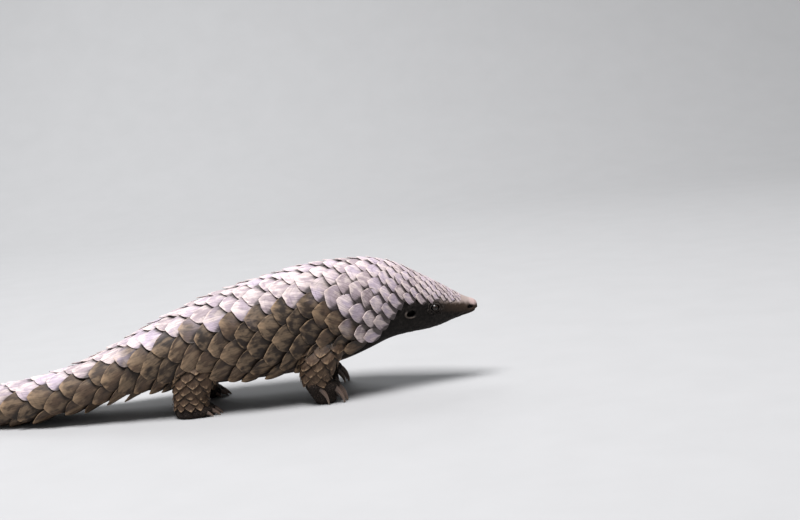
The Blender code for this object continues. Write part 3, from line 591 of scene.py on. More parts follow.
def trunk_place(place):
    """(distance behind the nose, girth, surface point, normal) nearest to a place on the head."""
    i, j = divmod(tree.find(place)[1], columns)
    share = (j - trunk.HALF_STEPS) / trunk.HALF_STEPS
    return trunk.along[i], share * trunk.half_girth[i], trunk.points[i, j], trunk.normals[i, j]


places = read_places(skin)
behind = behind_nose(places)
on_head = np.flatnonzero(behind < HOLD_TO[1])
found = [trunk_place(places[k]) for k in on_head]
along, girth, near, facing = (np.array(column) for column in zip(*found))
above = np.sum((places[on_head] - near) * facing, axis=1)
wanted = -trunk_coat.bed(along, girth)
hold = smooth_step(behind[on_head], *HOLD_FROM) * (1 - smooth_step(behind[on_head], *HOLD_TO))
places[on_head] += facing * ((wanted - above) * hold)[:, None]
write_places(skin, places)
apply_modifier(skin, "SMOOTH", factor=0.5, iterations=1)
print("head points set back", len(on_head))


# %% Build up lids, ears, nostrils, lips and folds
def around(places, frame_, stretch=(1.0, 1.0)):
    """Distances in mm ahead of and above a middle, and from it, for points on its own side of the head."""
    point, forward, up, normal = frame_
    offset = (places - point) / MM
    ahead, above, out = offset @ forward, offset @ up, offset @ normal
    away = np.hypot(ahead / stretch[0], above / stretch[1])
    away = np.where(np.abs(out) > 9.0, 99.0, away)
    return ahead, above, away


def bump(away, middle, width):
    """A rounded ridge in a ring, 1 on its crest."""
    return np.exp(-(((away - middle) / width) ** 2))


def lid_height(ahead, above, away):
    """An almond opening, a lid that hugs the ball, and loose wrinkled folds below and behind, in mm."""
    angle = np.arctan2(above, ahead)
    out = away - 2.6 - 0.35 * np.cos(2 * angle)
    wander = 0.75 * np.sin(0.9 * ahead + 0.8 * above) + 0.45 * np.sin(1.9 * above - 1.1 * ahead + 1.0)
    loose = out + wander * smooth_step(out, 0.8, 3.0)
    below = smooth_step(-above - 0.5 * ahead, -1.5, 2.6)
    broken = 0.55 + 0.45 * np.sin(3 * angle + 0.7 * away + 0.5)
    opening = -3.8 * (1 - smooth_step(out, -0.25, 0.25))
    lid = 0.55 * bump(out, 0.75, 0.42) + 0.55 * bump(loose, 2.6, 0.8) * (1 - below)
    folds = 0.52 * bump(loose, 2.5, 0.55) * (0.3 + 0.7 * below) + 0.42 * bump(loose, 4.2, 0.6) * below * broken
    creases = 0.38 * bump(loose, 1.65, 0.33) * (0.5 + 0.5 * below) + 0.36 * bump(loose, 3.4, 0.36) * below
    cross = 0.10 * np.sin(3.2 * ahead + 1.3 * above) * smooth_step(out, 0.8, 1.6)
    return opening + lid + folds - creases + cross * (1 - smooth_step(out, 5.0, 8.0))


def ear_height(ahead, above, away):
    """The ear's opening with its thick fold behind and below, and a low lip in front, in mm."""
    behind_it = smooth_step(-ahead + 1.1 * -above, -1.5, 3.0)
    hole = -5.0 * (1 - smooth_step(away, 2.2, 3.2))
    fold = (0.15 + 1.35 * behind_it) * bump(away, 4.0, 0.8)
    trough = -0.35 * bump(away, 5.6, 0.8) * behind_it
    return hole + fold + trough


def nostril_height(ahead, above, away):
    """A comma: a slit that runs back and up from the nose tip, with a soft rim over it, in mm."""
    comma = np.hypot((ahead + 0.4) / 0.9, (above - 1.5) / 1.3)
    slit = -2.1 * (1 - smooth_step(away, 1.0, 1.75))
    rim = 0.34 * bump(away, 2.3, 0.45) * smooth_step(above, -1.4, 0.6)
    return slit - 0.7 * (1 - smooth_step(comma, 0.5, 1.3)) + rim


def mouth_height(places):
    """The line of the mouth between two soft lips, in mm."""
    at, height = np.array(MOUTH[::-1]).T
    behind_ = behind_nose(places) / MM
    below = (places[:, 2] / MM) - np.interp(behind_, at, height)
    inside = 1 - smooth_step(behind_, 16.0, 20.0)
    lips = 0.4 * bump(below, 1.25, 0.8) + 0.34 * bump(below, -1.2, 0.75)
    return (lips - 0.75 * bump(below, 0.0, 0.34)) * inside


def fold_height(place):
    """Fine creases that net the bare face, in mm, and a few deeper ones across the cheek."""
    fine = noise.noise(Vector((place[0] * 1.1, place[1] * 0.7, place[2] * 0.75)))
    net = 1 - 2 * abs(noise.noise(Vector((place[0] * 0.55 + 9, place[1] * 0.5, place[2] * 0.42))))
    broad = noise.noise(Vector((place[0] * 0.22, place[1] * 0.22 + 5, place[2] * 0.22)))
    return 0.10 * fine + 0.22 * net + 0.25 * broad


places = read_places(skin)
normals = read_normals(skin)
behind = behind_nose(places)
height = np.zeros(len(places))
for frame_ in eyes_at:
    away = around(places, frame_, (1.18, 0.95))
    height += np.where(away[2] < 12, lid_height(*away), 0.0)
height += np.where(behind < 23 * MM, mouth_height(places), 0.0)
for side in SIDES.values():
    away = around(places, face_frame(NOSTRIL_BEHIND, NOSTRIL_HEIGHT, side), (1.6, 0.95))
    height += np.where(away[2] < 5, nostril_height(*away), 0.0)
loose = smooth_step(behind, 9 * MM, 20 * MM) * (1 - smooth_step(behind, 62 * MM, 75 * MM))
for k in np.flatnonzero(behind < 75 * MM):
    height[k] += fold_height((places[k] - BODY_AT) / MM) * (0.25 + 0.75 * loose[k])
moved = normals * height[:, None]
for frame_ in ears_at:
    away = around(places, frame_, (1.25, 0.84))
    ear = np.where(away[2] < 12, ear_height(*away), 0.0)
    moved += frame_[3] * ear[:, None]
    height += ear
places += moved * MM
places[:, 2] = np.maximum(places[:, 2], 0.0)
write_places(skin, places)
crease = skin.data.attributes.new("crease", "FLOAT", "POINT")
crease.data.foreach_set("value", np.clip(height, -1.5, 1.5).astype(np.float32))
select_only(skin)
bpy.ops.object.shade_smooth()
print("skin", len(skin.data.polygons), "faces")

# %% [markdown]
# ## One scale, modelled once
#
# A scale is a plate of horn, a rounded fan with a blunt point. It is thickest in the middle, its sides
# droop to the neighbours, and near its free edge it carries five fine growth ripples. It starts as a
# flat grid whose rows are bent into arcs that run with the free edge, so that the ripples fall on rows of
# points. Solidify then gives it a thickness and Bevel rounds its rim, where the light catches the wear.

# %% The scale's form, in units of the spacing from row to row
ROOT, SHOULDER, REACH = -1.10, 0.12, 0.98
HALF_WIDTH = 1.02
PLATE = 0.075
RIPPLES = ((0.62, 0.4), (0.72, 0.7), (0.81, 0.9), (0.89, 1.0), (0.95, 0.8))
LIFT_AT = (-1.1, -0.5, 0.0, 0.5, 1.0, 1.3)
LIFT = (-1.15, -0.45, 0.34, 0.86, 1.26, 1.52)
POINTED, CUSP = 0.16, 0.13


def free_edge(s):
    """How far the plate reaches towards the tail, from its middle at 0 to its sides at 1."""
    pointed, rounded = 1 - np.abs(s) ** 1.2, np.maximum(1 - s ** 2, 0.0) ** 0.5
    return SHOULDER + REACH * (POINTED * pointed + (1 - POINTED) * rounded) + CUSP * bump(s, 0.0, 0.22)


def fan(across, along):
    """Where a point of the flat grid lies on the plate: sideways, down the path, and above the skin."""
    s = np.sin(across * math.pi / 2)
    edge = free_edge(s)
    t = 1 - (1 - along) ** 1.35
    width = HALF_WIDTH * (0.52 + 0.48 * smooth_step(t, 0.0, 0.62))
    ahead = ROOT + t * (edge - ROOT)
    droop = 0.50 * np.abs(s) ** 2.2 * smooth_step(t, 0.1, 0.7)
    flare = 0.14 * smooth_step(t, 0.86, 1.0)
    return s * width, ahead, (np.interp(ahead, LIFT_AT, LIFT) - droop + flare) * RISE_OF_SPACING, s, t


def master_scale(name, columns, rows, bevel):
    """A finished plate, and for each of its points its place on the plate and whether it is underneath."""
    deselect_all()
    bpy.ops.mesh.primitive_grid_add(x_subdivisions=columns, y_subdivisions=rows, size=2.0)
    plate = bpy.context.object
    plate.name = plate.data.name = name
    flat = read_places(plate)
    across, ahead, height, s, t = fan(flat[:, 0], (flat[:, 1] + 1) / 2)
    sheet = np.stack([across, ahead, height], axis=1)
    write_places(plate, sheet)
    apply_modifier(plate, "SOLIDIFY", thickness=PLATE, offset=-1.0)
    if bevel:
        apply_modifier(
            plate, "BEVEL", width=0.022, segments=bevel, limit_method="ANGLE", angle_limit=math.radians(50)
        )
    points = read_places(plate)
    nearest = np.argmin(np.linalg.norm(points[:, None, :2] - sheet[None, :, :2], axis=2), axis=1)
    underneath = smooth_step(height[nearest] - points[:, 2], 0.3 * PLATE, 0.9 * PLATE)
    faces = [tuple(face.vertices) for face in plate.data.polygons]
    bpy.data.objects.remove(plate)
    return points, np.stack([s, t], axis=1)[nearest], underneath, faces


fine_scale = master_scale("fine_scale", 16, 15, 2)
small_scale = master_scale("small_scale", 8, 8, 1)
print("a scale has", len(fine_scale[3]), "faces, and a small one", len(small_scale[3]))

# %% [markdown]
# ## A coat of many scales
#
# Each scale is a copy of the master, bent onto the body by the same formula as the skin, so it can't float
# or sink. No two are alike: each draws its own size, turn, tilt, edge and ripples from one seeded source.
# The copies of a region are joined into one mesh. Every point keeps its place on its plate, its scale's
# own tone and its distance from the edge of the scale that covers it, for the horn's pattern and for the
# painted shade in the gaps under each covering edge. At the tip of the tail the scales narrow with it and
# fold over its end. A map named OFBake gives each scale its own patch, at its root's place on the unwrapped
# skin, so that its colours can be stored.

# %% Set a region's scales
RIPPLE_HEIGHT = 0.016
SMALL_PLATE = len(small_scale[0])
GAP_SPACING = 11.5 * MM
END_NARROWS, END_FOLD, END_CLOSES, END_BULGE = 10.0 * MM, 4.0 * MM, 0.85, 0.8 * MM
rng = np.random.default_rng(7)


def narrowing(limb, reach):
    """How much a scale narrows with the limb, so that one near the tip doesn't roll round it."""
    start = limb.along[-1] - END_NARROWS
    return limb.half_at(np.maximum(reach, start)) / limb.half_at(start)


def fold_over_end(limb, places, reach):
    """Draw the points that pass a limb's end in over it, so that the last scales close it like a bud."""
    past = smooth_step(reach, limb.along[-1] - END_FOLD, limb.along[-1] + END_FOLD)[..., None]
    heading = limb.centres[-1] - limb.centres[-2]
    heading = heading / np.linalg.norm(heading)
    return places + past * (END_CLOSES * (limb.centres[-1] - places) + END_BULGE * heading)


def edge_shape(s, count):
    """A slow wander of each scale's free edge, and a worn nick in some of the larger ones."""
    waves = sum(
        rng.uniform(-1, 1, (count, 1)) / k * np.sin(s * k * 2.2 + rng.uniform(0, 6.3, (count, 1)))
        for k in (1, 2, 3, 5)
    )
    nick_at = rng.uniform(-0.8, 0.8, (count, 1))
    nick = np.where(rng.random((count, 1)) < 0.35, rng.uniform(0.02, 0.07, (count, 1)), 0.0)
    fine = len(s) > SMALL_PLATE
    return (0.028 if fine else 0.012) * waves - fine * nick * bump(s, nick_at, 0.07)


def set_scales(name, coat, rows, master, zone_of, turn_of, stand=1.0):
    """One joined piece of scales, one for each row of places."""
    points, (s, t), underneath, faces = master[0], master[1].T, master[2], master[3]
    along, girth, row, ring, rise = rows.T[:, :, None]
    count = len(rows)
    wide, long, high = (1 + rng.uniform(-v, v, (count, 1)) for v in (0.08, 0.12, 0.15))
    turn, roll, skew = (rng.uniform(-v, v, (count, 1)) for v in (0.13, 0.07, 0.16))
    turn = turn + turn_of(rows)[:, None]
    tilt = rng.uniform(-0.03, 0.10, (count, 1))
    free = smooth_step(t, 0.55, 1.0)
    across = points[:, 0] * wide + skew * free * (1 - s ** 2)
    ahead = points[:, 1] * long + free * edge_shape(s, count)
    height = points[:, 2] * high + roll * s * t + tilt * t ** 3
    # How far a point lies past the edge of the scale that covers it; the horn reads it for painted shade.
    gap = ahead + 1 - free_edge(np.clip((1 - np.abs(across)) / HALF_WIDTH, 0.0, 1.0))
    gap = gap * np.sqrt(GAP_SPACING / ring)
    flat = stand * (0.60 + 0.50 * np.clip(zone_of(rows), 0.0, 1.0)[:, None])
    height = np.where(height > 0, height * flat, height)
    for middle, share in RIPPLES:
        middle = middle + rng.uniform(-0.025, 0.025, (count, 1))
        height = height + RIPPLE_HEIGHT * share * bump(t, middle, 0.02) * (1 - underneath)
    across, ahead = across * row + ahead * turn * row, ahead * ring - across * turn * row
    reach = along + ahead
    places, facing = coat.limb.at(reach, (girth + across) * narrowing(coat.limb, reach))
    places = fold_over_end(coat.limb, places + facing * (height * row)[..., None], reach)
    places[..., 2] = np.maximum(places[..., 2], 0.15 * MM)

    mesh = bpy.data.meshes.new(name)
    size = points.shape[0]
    corners = [tuple(k + n * size for k in face) for n in range(count) for face in faces]
    mesh.from_pydata(places.reshape(-1, 3), [], corners)
    obj = bpy.data.objects.new(name, mesh)
    bpy.context.scene.collection.objects.link(obj)

    tone = np.repeat(rng.random(count), size)
    zone = np.repeat(zone_of(rows), size)
    seed = np.repeat(rng.uniform(0.0, 40.0, count), size)
    for label, parts in (
        ("plate", (np.tile(s, count), np.tile(t, count), seed)),
        ("coat", (tone, zone, gap.ravel())),
    ):
        made = mesh.attributes.new(label, "FLOAT_VECTOR", "POINT")
        made.data.foreach_set("vector", np.stack(parts, axis=1).astype(np.float32).ravel())

    u_low, u_high = rows[:, 0].min() - rows[:, 3].max(), rows[:, 0].max() + rows[:, 3].max()
    half = (np.abs(rows[:, 1]) + rows[:, 2]).max()
    patch_u = along - u_low + ring * np.where(underneath > 0.5, 0.40 - 0.12 * t, 0.62 * t - 0.42)
    patch_v = girth + half + row * s * np.where(underneath > 0.5, 0.90, 0.82)
    uv = np.stack([patch_u / (u_high - u_low), patch_v / (2 * half)], axis=2).reshape(-1, 2)
    loops = np.empty(len(mesh.loops), int)
    mesh.loops.foreach_get("vertex_index", loops)
    layer = mesh.uv_layers.new(name="OFBake")
    layer.data.foreach_set("uv", uv[loops].astype(np.float32).ravel())
    select_only(obj)
    bpy.ops.object.shade_smooth_by_angle(angle=math.radians(38))
    mesh.calc_loop_triangles()
    print(f"{name}: {count} scales, {len(mesh.loop_triangles)} triangles")
    return obj


# %% Cover the trunk, region by region
REGIONS = {
    "scales_head": (0.0, 50.0, small_scale),
    "scales_neck": (50.0, 92.0, fine_scale),
    "scales_shoulders": (92.0, 150.0, fine_scale),
    "scales_back": (150.0, 206.0, fine_scale),
    "scales_loin": (206.0, 260.0, fine_scale),
    "scales_rump": (260.0, 308.0, fine_scale),
    "scales_tail_base": (308.0, 388.0, fine_scale),
    "scales_tail_middle": (388.0, 464.0, fine_scale),
    "scales_tail_end": (464.0, 548.0, fine_scale),
}


def trunk_zone(rows):
    """0 on the back to 1 at the lowest scales, and less on the head and neck, which are paler."""
    front = 1 - smooth_step(rows[:, 0], 88 * MM, 124 * MM)
    return np.abs(rows[:, 1]) / trunk_coat.cover(rows[:, 0]) * (1 - 0.65 * front)


def trunk_turn(rows):
    """How far each scale's tip is turned up towards the back: most on the flank behind the shoulder."""
    share = np.abs(rows[:, 1]) / trunk_coat.cover(rows[:, 0])
    behind_neck, past_shoulder = (smooth_step(rows[:, 0], a * MM, b * MM) for a, b in ((62, 92), (130, 230)))
    lengthwise = behind_neck * (1.2 - past_shoulder)
    return -np.sign(rows[:, 1]) * 0.30 * bump(share, 0.52, 0.30) * lengthwise


scales = []
trunk_rows = trunk_coat.places()
for name, (start, end, master) in REGIONS.items():
    rows = trunk_rows[(trunk_rows[:, 0] >= start * MM) & (trunk_rows[:, 0] < end * MM)]
    scales.append(set_scales(name, trunk_coat, rows, master, trunk_zone, trunk_turn))

# %% Cover the legs
LEG_ZONE, LEG_STAND = 1.2, 0.8

for (kind, word), coat in leg_coats.items():
    scales.append(set_scales(
        f"scales_{kind}leg_{word}", coat, coat.places(), fine_scale,
        lambda r: np.full(len(r), LEG_ZONE), lambda r: np.zeros(len(r)), LEG_STAND,
    ))

# %% [markdown]
# ## Claws
#
# The forefeet carry long digging claws that curve down to the floor, and the hind feet short blunt ones.
# A cone with a bend modifier would do for one, but the solids already follow a line worked out from the
# claw's length and drop. The same line makes a small limb here, deeper than wide, with fine ridges of
# growth along it and a worn, rounded tip.

# %% Model the claws along their lines
CLAW_PITCH, CLAW_BEND, SPREAD_PER_MM = 26.0, 66.0, 1.2
CLAW_CLEAR, CLAW_TIP = 0.35, 0.5
CLAW_STEPS = 48


def claw_line(base, side, length, drop, spread):
    """A claw's middle line: forwards out of the toe, then bending down to the floor."""
    t = np.linspace(0.0, 1.0, CLAW_STEPS + 1)
    pitch, bend = math.radians(CLAW_PITCH) * drop, math.radians(CLAW_BEND) * drop
    forward = (np.sin(pitch + bend * t) - math.sin(pitch)) / bend * length
    down = (math.cos(pitch) - np.cos(pitch + bend * t)) / bend * length
    floor = (CLAW_CLEAR + CLAW_TIP * (1 - t)) * MM
    x = base.x + forward * math.cos(spread)
    y = base.y + forward * math.sin(spread) * side
    return np.stack([x, y, np.maximum(base.z - down, floor)], axis=1), t


def claw(name, base, side, length, thick, drop, spread):
    line, t = claw_line(base, side, length, drop, spread)
    path = np.gradient(line, axis=0)
    path /= np.linalg.norm(path, axis=1, keepdims=True)
    sides = np.tile((-math.sin(spread) * side, math.cos(spread), 0.0), (len(t), 1))
    ups = np.cross(path, sides)
    ups *= np.sign(ups[:1, 2:])
    radius = thick * (1 - 0.86 * t ** 1.6)
    radius[-3:] *= (0.97, 0.8, 0.42)
    reaches = np.stack([radius * 0.86, radius * 1.12, radius * 1.0], axis=1)
    along = np.concatenate([[0.0], np.cumsum(np.linalg.norm(np.diff(line, axis=0), axis=1))])
    tube = rolled_tube(name, Limb(along, line, sides, ups, reaches, np.full(len(t), 2.0)), along, 40)
    places, facing = read_places(tube), read_normals(tube)
    nearest = np.argmin(np.linalg.norm(places[:, None] - line[None], axis=2), axis=1)
    offset = places - line[nearest]
    angle = np.arctan2(np.sum(offset * sides[nearest], axis=1), np.sum(offset * ups[nearest], axis=1))
    ridges = 0.022 * np.cos(angle * 11) * (1 - t[nearest] ** 3) + 0.012 * np.cos(t[nearest] * 70)
    write_places(tube, places + facing * (ridges * radius[nearest])[:, None])
    marks = tube.data.attributes.new("claw", "FLOAT_VECTOR", "POINT")
    values = np.stack([t[nearest], angle, np.full_like(angle, base.y / MM)], axis=1)
    marks.data.foreach_set("vector", values.astype(np.float32).ravel())
    select_only(tube)
    bpy.ops.object.shade_smooth()
    return tube


claws = []
for (kind, word), (limb, side, toes, foot) in legs.items():
    for number, (ahead, out, up, radius, length, thick, drop) in enumerate(toes, 1):
        base = BODY_AT + foot + Vector((ahead + 0.2 * radius, out * side, up)) * MM
        node = f"{kind}foot_{word}_claw_{number}"
        spread = math.radians(SPREAD_PER_MM * out)
        made = claw(f"claw_{kind}_{word}_{number}", base, side, (length + radius) * MM, thick * MM, drop, spread)
        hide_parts(node)
        claws.append(made)
print(len(claws), "claws")

# %% [markdown]
# ## Eyes
#
# A pangolin's eye is a small dark bead, wet and bulging a little, with hardly any white. It is a sphere
# with a slightly steeper cornea in front, set as deep as in the solids, so the lids close round it.

# %% Set the eyes
CORNEA = 0.35 * MM

eyes = []
for (word, side), (point, forward, up, normal) in zip(SIDES.items(), eyes_at):
    centre = Vector(point - normal * EYE_SUNK)
    turn = Matrix((forward, up, normal)).transposed()
    deselect_all()
    bpy.ops.mesh.primitive_uv_sphere_add(segments=48, ring_count=28, radius=EYE_RADIUS)
    eye = bpy.context.object
    eye.name = f"eyeball_{word}"
    ball = read_places(eye)
    front = ball[:, 2] / EYE_RADIUS
    ball[:, 2] += CORNEA * smooth_step(front, 0.72, 1.0)
    marks = eye.data.attributes.new("iris", "FLOAT", "POINT")
    marks.data.foreach_set("value", front.astype(np.float32))
    write_places(eye, ball @ np.array(turn.to_3x3()).T + np.array(centre))
    select_only(eye)
    if turn.determinant() < 0:
        bpy.ops.object.mode_set(mode="EDIT")
        bpy.ops.mesh.select_all(action="SELECT")
        bpy.ops.mesh.normals_make_consistent(inside=False)
        bpy.ops.object.mode_set(mode="OBJECT")
    bpy.ops.object.shade_smooth()
    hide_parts(f"eye_{word}")
    eyes.append(eye)
print(len(eyes), "eyes of", round(2 * EYE_RADIUS / MM, 1), "mm")

# %% [markdown]
# ## Writing shaders as sums
#
# Node trees are easier to read as formulas. A small class wraps a socket, and its operators add the Math
# nodes, so that 1 - mask * 0.5 builds three nodes. One method adds any other node.

# %% The shader-maths class
class Value:
    """A number on its way through a material."""

    def __init__(self, tree, socket):
        self.tree, self.socket = tree, socket

    def math(self, operation, *others, clamp=False):
        made = self.tree.nodes.new("ShaderNodeMath")
        made.operation, made.use_clamp = operation, clamp
        for slot, value in zip(made.inputs, (self, *others)):
            if isinstance(value, Value):
                self.tree.links.new(value.socket, slot)
            else:
                slot.default_value = value
        return Value(self.tree, made.outputs[0])

    def flipped(self, operation, first):
        made = self.math(operation, 0.0)
        node = made.socket.node
        self.tree.links.remove(node.inputs[0].links[0])
        node.inputs[0].default_value = first
        self.tree.links.new(self.socket, node.inputs[1])
        return made

    def __add__(self, other):
        return self.math("ADD", other)

    def __sub__(self, other):
        return self.math("SUBTRACT", other)

    def __rsub__(self, other):
        return self.flipped("SUBTRACT", other)

    def __mul__(self, other):
        return self.math("MULTIPLY", other)

    def __pow__(self, other):
        return self.math("POWER", other)

    __radd__, __rmul__ = __add__, __mul__

    def ramp(self, low, high):
        """0 below low to 1 above high, or the other way round, with soft ends."""
        made = self.tree.nodes.new("ShaderNodeMapRange")
        made.interpolation_type = "SMOOTHSTEP"
        self.tree.links.new(self.socket, made.inputs["Value"])
        made.inputs["From Min"].default_value = min(low, high)
        made.inputs["From Max"].default_value = max(low, high)
        made.inputs["To Min"].default_value = float(low > high)
        made.inputs["To Max"].default_value = float(low < high)
        return Value(self.tree, made.outputs["Result"])


class Finish:
    """A new material, and the nodes that lead to its surface."""

    def __init__(self, name):
        self.material = bpy.data.materials.new(name)
        self.material.use_nodes = True
        self.tree = self.material.node_tree
        self.surface = self.tree.nodes["Principled BSDF"]

    def node(self, kind, settings=None, sockets=None, out=0):
        """Any node: its settings first, then the values or links of its sockets."""
        made = self.tree.nodes.new(kind)
        for name, value in (settings or {}).items():
            setattr(made, name, value)
        for name, value in (sockets or {}).items():
            self.put(value, made.inputs[name])
        return Value(self.tree, made.outputs[out])

    def put(self, value, socket):
        if isinstance(value, Value):
            self.tree.links.new(value.socket, socket)
        else:
            socket.default_value = value

    def mix(self, amount, first, second, blend="MIX"):
        first, second = ((*c, 1.0) if isinstance(c, tuple) and len(c) == 3 else c for c in (first, second))
        settings = {"data_type": "RGBA", "blend_type": blend}
        return self.node("ShaderNodeMix", settings, {0: amount, 6: first, 7: second}, out=2)

    def attribute(self, name):
        """The three parts of a point attribute."""
        vector = self.node("ShaderNodeAttribute", {"attribute_name": name}, out="Vector")
        parts = self.node("ShaderNodeSeparateXYZ", sockets={0: vector}).socket.node
        return [Value(self.tree, parts.outputs[k]) for k in range(3)]

    def place(self, scale=(1.0, 1.0, 1.0)):
        """Object coordinates in mm, stretched."""
        where = self.node("ShaderNodeTexCoord", out="Object")
        sizes = tuple(s / MM for s in scale)
        return self.node("ShaderNodeMapping", sockets={"Vector": where, "Scale": sizes})

    def noise(self, vector, scale, detail=3.0, rough=0.55):
        sockets = {"Vector": vector, "Scale": scale, "Detail": detail, "Roughness": rough}
        return self.node("ShaderNodeTexNoise", sockets=sockets)

    def vector(self, x, y, z):
        return self.node("ShaderNodeCombineXYZ", sockets={0: x, 1: y, 2: z})

    def bump(self, height, strength, distance, under=None):
        sockets = {"Height": height, "Strength": strength, "Distance": distance}
        if under is not None:
            sockets["Normal"] = under
        return self.node("ShaderNodeBump", sockets=sockets)

    def give(self, **sockets):
        for name, value in sockets.items():
            self.put(value, self.surface.inputs[name.replace("_", " ")])
        return self.material


# %% [markdown]
# ## Horn
#
# The horn is lavender grey and dusty on the back, where sand and light wear it, and turns darker, to brown and
# olive, down the flank and legs; that darkening is partly the horn's own colour and partly painted shade of the
# lower sides. Fine lines fan out from each root, the last ripples hold dirt, the rim is worn pale, and painted
# shade darkens each plate just past the edge of the scale that covers it. All of it is written in each plate's
# own coordinates, so the pattern turns with its scale.

# %% The scales' finish
BACK_GREY, BACK_LILAC, BACK_CREAM = (0.38, 0.30, 0.315), (0.54, 0.445, 0.52), (0.80, 0.67, 0.63)
FLANK_DARK, FLANK_BROWN, FLANK_OLIVE = (0.024, 0.015, 0.010), (0.100, 0.062, 0.039), (0.230, 0.158, 0.098)
LEG_BROWN = (0.070, 0.036, 0.017)
RIM_PALE, RIM_TAN = (0.80, 0.66, 0.60), (0.48, 0.32, 0.19)
# Dark for the grain lines and growth rings, and for the painted shade under the edges of covering scales.
SHADE_AND_GRAIN_DARK = (0.020, 0.014, 0.011)


def horn_finish():
    horn = Finish("scale_horn_fine")
    s, t, seed = horn.attribute("plate")
    tone, zone, gap = horn.attribute("coat")
    cloud = horn.noise(horn.place(), 0.045, 2.0)
    lines = horn.noise(horn.vector(s * 13.0, t * 1.4, seed), 1.0, 4.0, 0.62)
    blotch = horn.noise(horn.vector(s * 1.7, t * 1.9, seed), 1.0, 3.0)
    patch = horn.noise(horn.vector(s * 3.1, t * 3.3, seed + 17.0), 1.0, 2.0)
    rings = horn.noise(horn.vector(s * 0.8, t * 15.0, seed), 1.0, 3.0)
    # Partly painted shade: the mix from back to flank colours darkens the lower scales, partly their own colour.
    low = (zone + (cloud - 0.5) * 0.14 + (tone - 0.5) * 0.07).ramp(0.385, 0.475)
    back = horn.mix(tone.ramp(0.1, 0.9), BACK_GREY, BACK_LILAC)
    back = horn.mix(blotch.ramp(0.42, 0.60) * 0.70, back, BACK_CREAM)
    back = horn.mix(patch.ramp(0.46, 0.30) * 0.45, back, BACK_GREY)
    flank = horn.mix((tone * 7.0).math("FRACT").ramp(0.15, 0.85), FLANK_DARK, FLANK_BROWN)
    flank = horn.mix(blotch.ramp(0.42, 0.62) * 0.75, flank, FLANK_OLIVE)
    flank = horn.mix(patch.ramp(0.48, 0.30) * 0.60, flank, FLANK_DARK)
    flank = horn.mix(zone.ramp(1.0, 1.15) * 0.65, flank, LEG_BROWN)
    body = horn.mix(low, back, flank)
    body = horn.mix(lines.ramp(0.60, 0.36) * 0.52, body, horn.mix(0.6, body, SHADE_AND_GRAIN_DARK))
    body = horn.mix(rings.ramp(0.52, 0.70) * t.ramp(0.35, 0.8) * 0.22, body, SHADE_AND_GRAIN_DARK)
    side = s.math("ABSOLUTE")
    rim = horn.mix(low, RIM_PALE, RIM_TAN)
    worn = (t + (lines - 0.5) * 0.10 + (patch - 0.5) * 0.40).ramp(0.94, 1.04)
    cusp = (t - side * 0.42 + (patch - 0.5) * 0.60).ramp(0.74, 1.0)
    body = horn.mix(worn * (0.62 - low * 0.28), body, rim)
    body = horn.mix(cusp * (0.55 - low * 0.15), body, rim)
    # Painted shade: dark just past the edge of the covering scale, a narrow line and a wider soft gradient.
    shade = (gap + (patch - 0.5) * 0.30).ramp(0.32, 0.02)
    body = horn.mix(shade * 0.82, body, SHADE_AND_GRAIN_DARK)
    body = horn.mix((gap + (lines - 0.5) * 0.3).ramp(0.80, 0.10) * 0.26, body, SHADE_AND_GRAIN_DARK)
    rough = 0.50 + lines * 0.12 + blotch * 0.14
    grain = horn.noise(horn.vector(s * 34.0, t * 2.4, seed), 1.0, 3.0, 0.7)
    relief = horn.bump(lines * 0.7 + grain * 0.3, 0.6, 0.00026)
    relief = horn.bump(rings, 0.35, 0.00018, relief)
    horn.surface.inputs["Specular IOR Level"].default_value = 0.34
    return horn.give(Base_Color=body, Roughness=rough, Normal=relief)


horn_material = horn_finish()
print("horn", len(horn_material.node_tree.nodes), "nodes")

# %% [markdown]
# ## Skin, claws and eyes
#
# Bare skin is dark grey brown, painted darker still as the shade that falls on the face and throat, and paler
# and pinker on top of the snout. Its folds are paler than its creases, and the creases, the mouth line, the
# nostrils, the ears' holes and the gaps round the eyes are painted dark as shade. The feet are leathery and
# dark, partly as painted shade, with small pads painted paler on top as a painted highlight, between cracks
# painted dark as shade. The claws are tan with dirt at the root. The eyes are almost black, under a clear wet
# coat.

# %% The skin's finish
FACE_DARK_SHADED, FACE_FOLD = (0.0062, 0.0048, 0.0040), (0.044, 0.036, 0.031)
SNOUT_SIDE, SNOUT_TOP, NOSE_TIP = (0.048, 0.031, 0.022), (0.37, 0.295, 0.265), (0.48, 0.36, 0.335)
EAR_FOLD, CREASE_SHADE = (0.085, 0.068, 0.057), (0.003, 0.0025, 0.0025)
BELLY, FOOT, FOOT_PAD_HIGHLIGHT = (0.17, 0.125, 0.105), (0.026, 0.018, 0.014), (0.085, 0.060, 0.046)


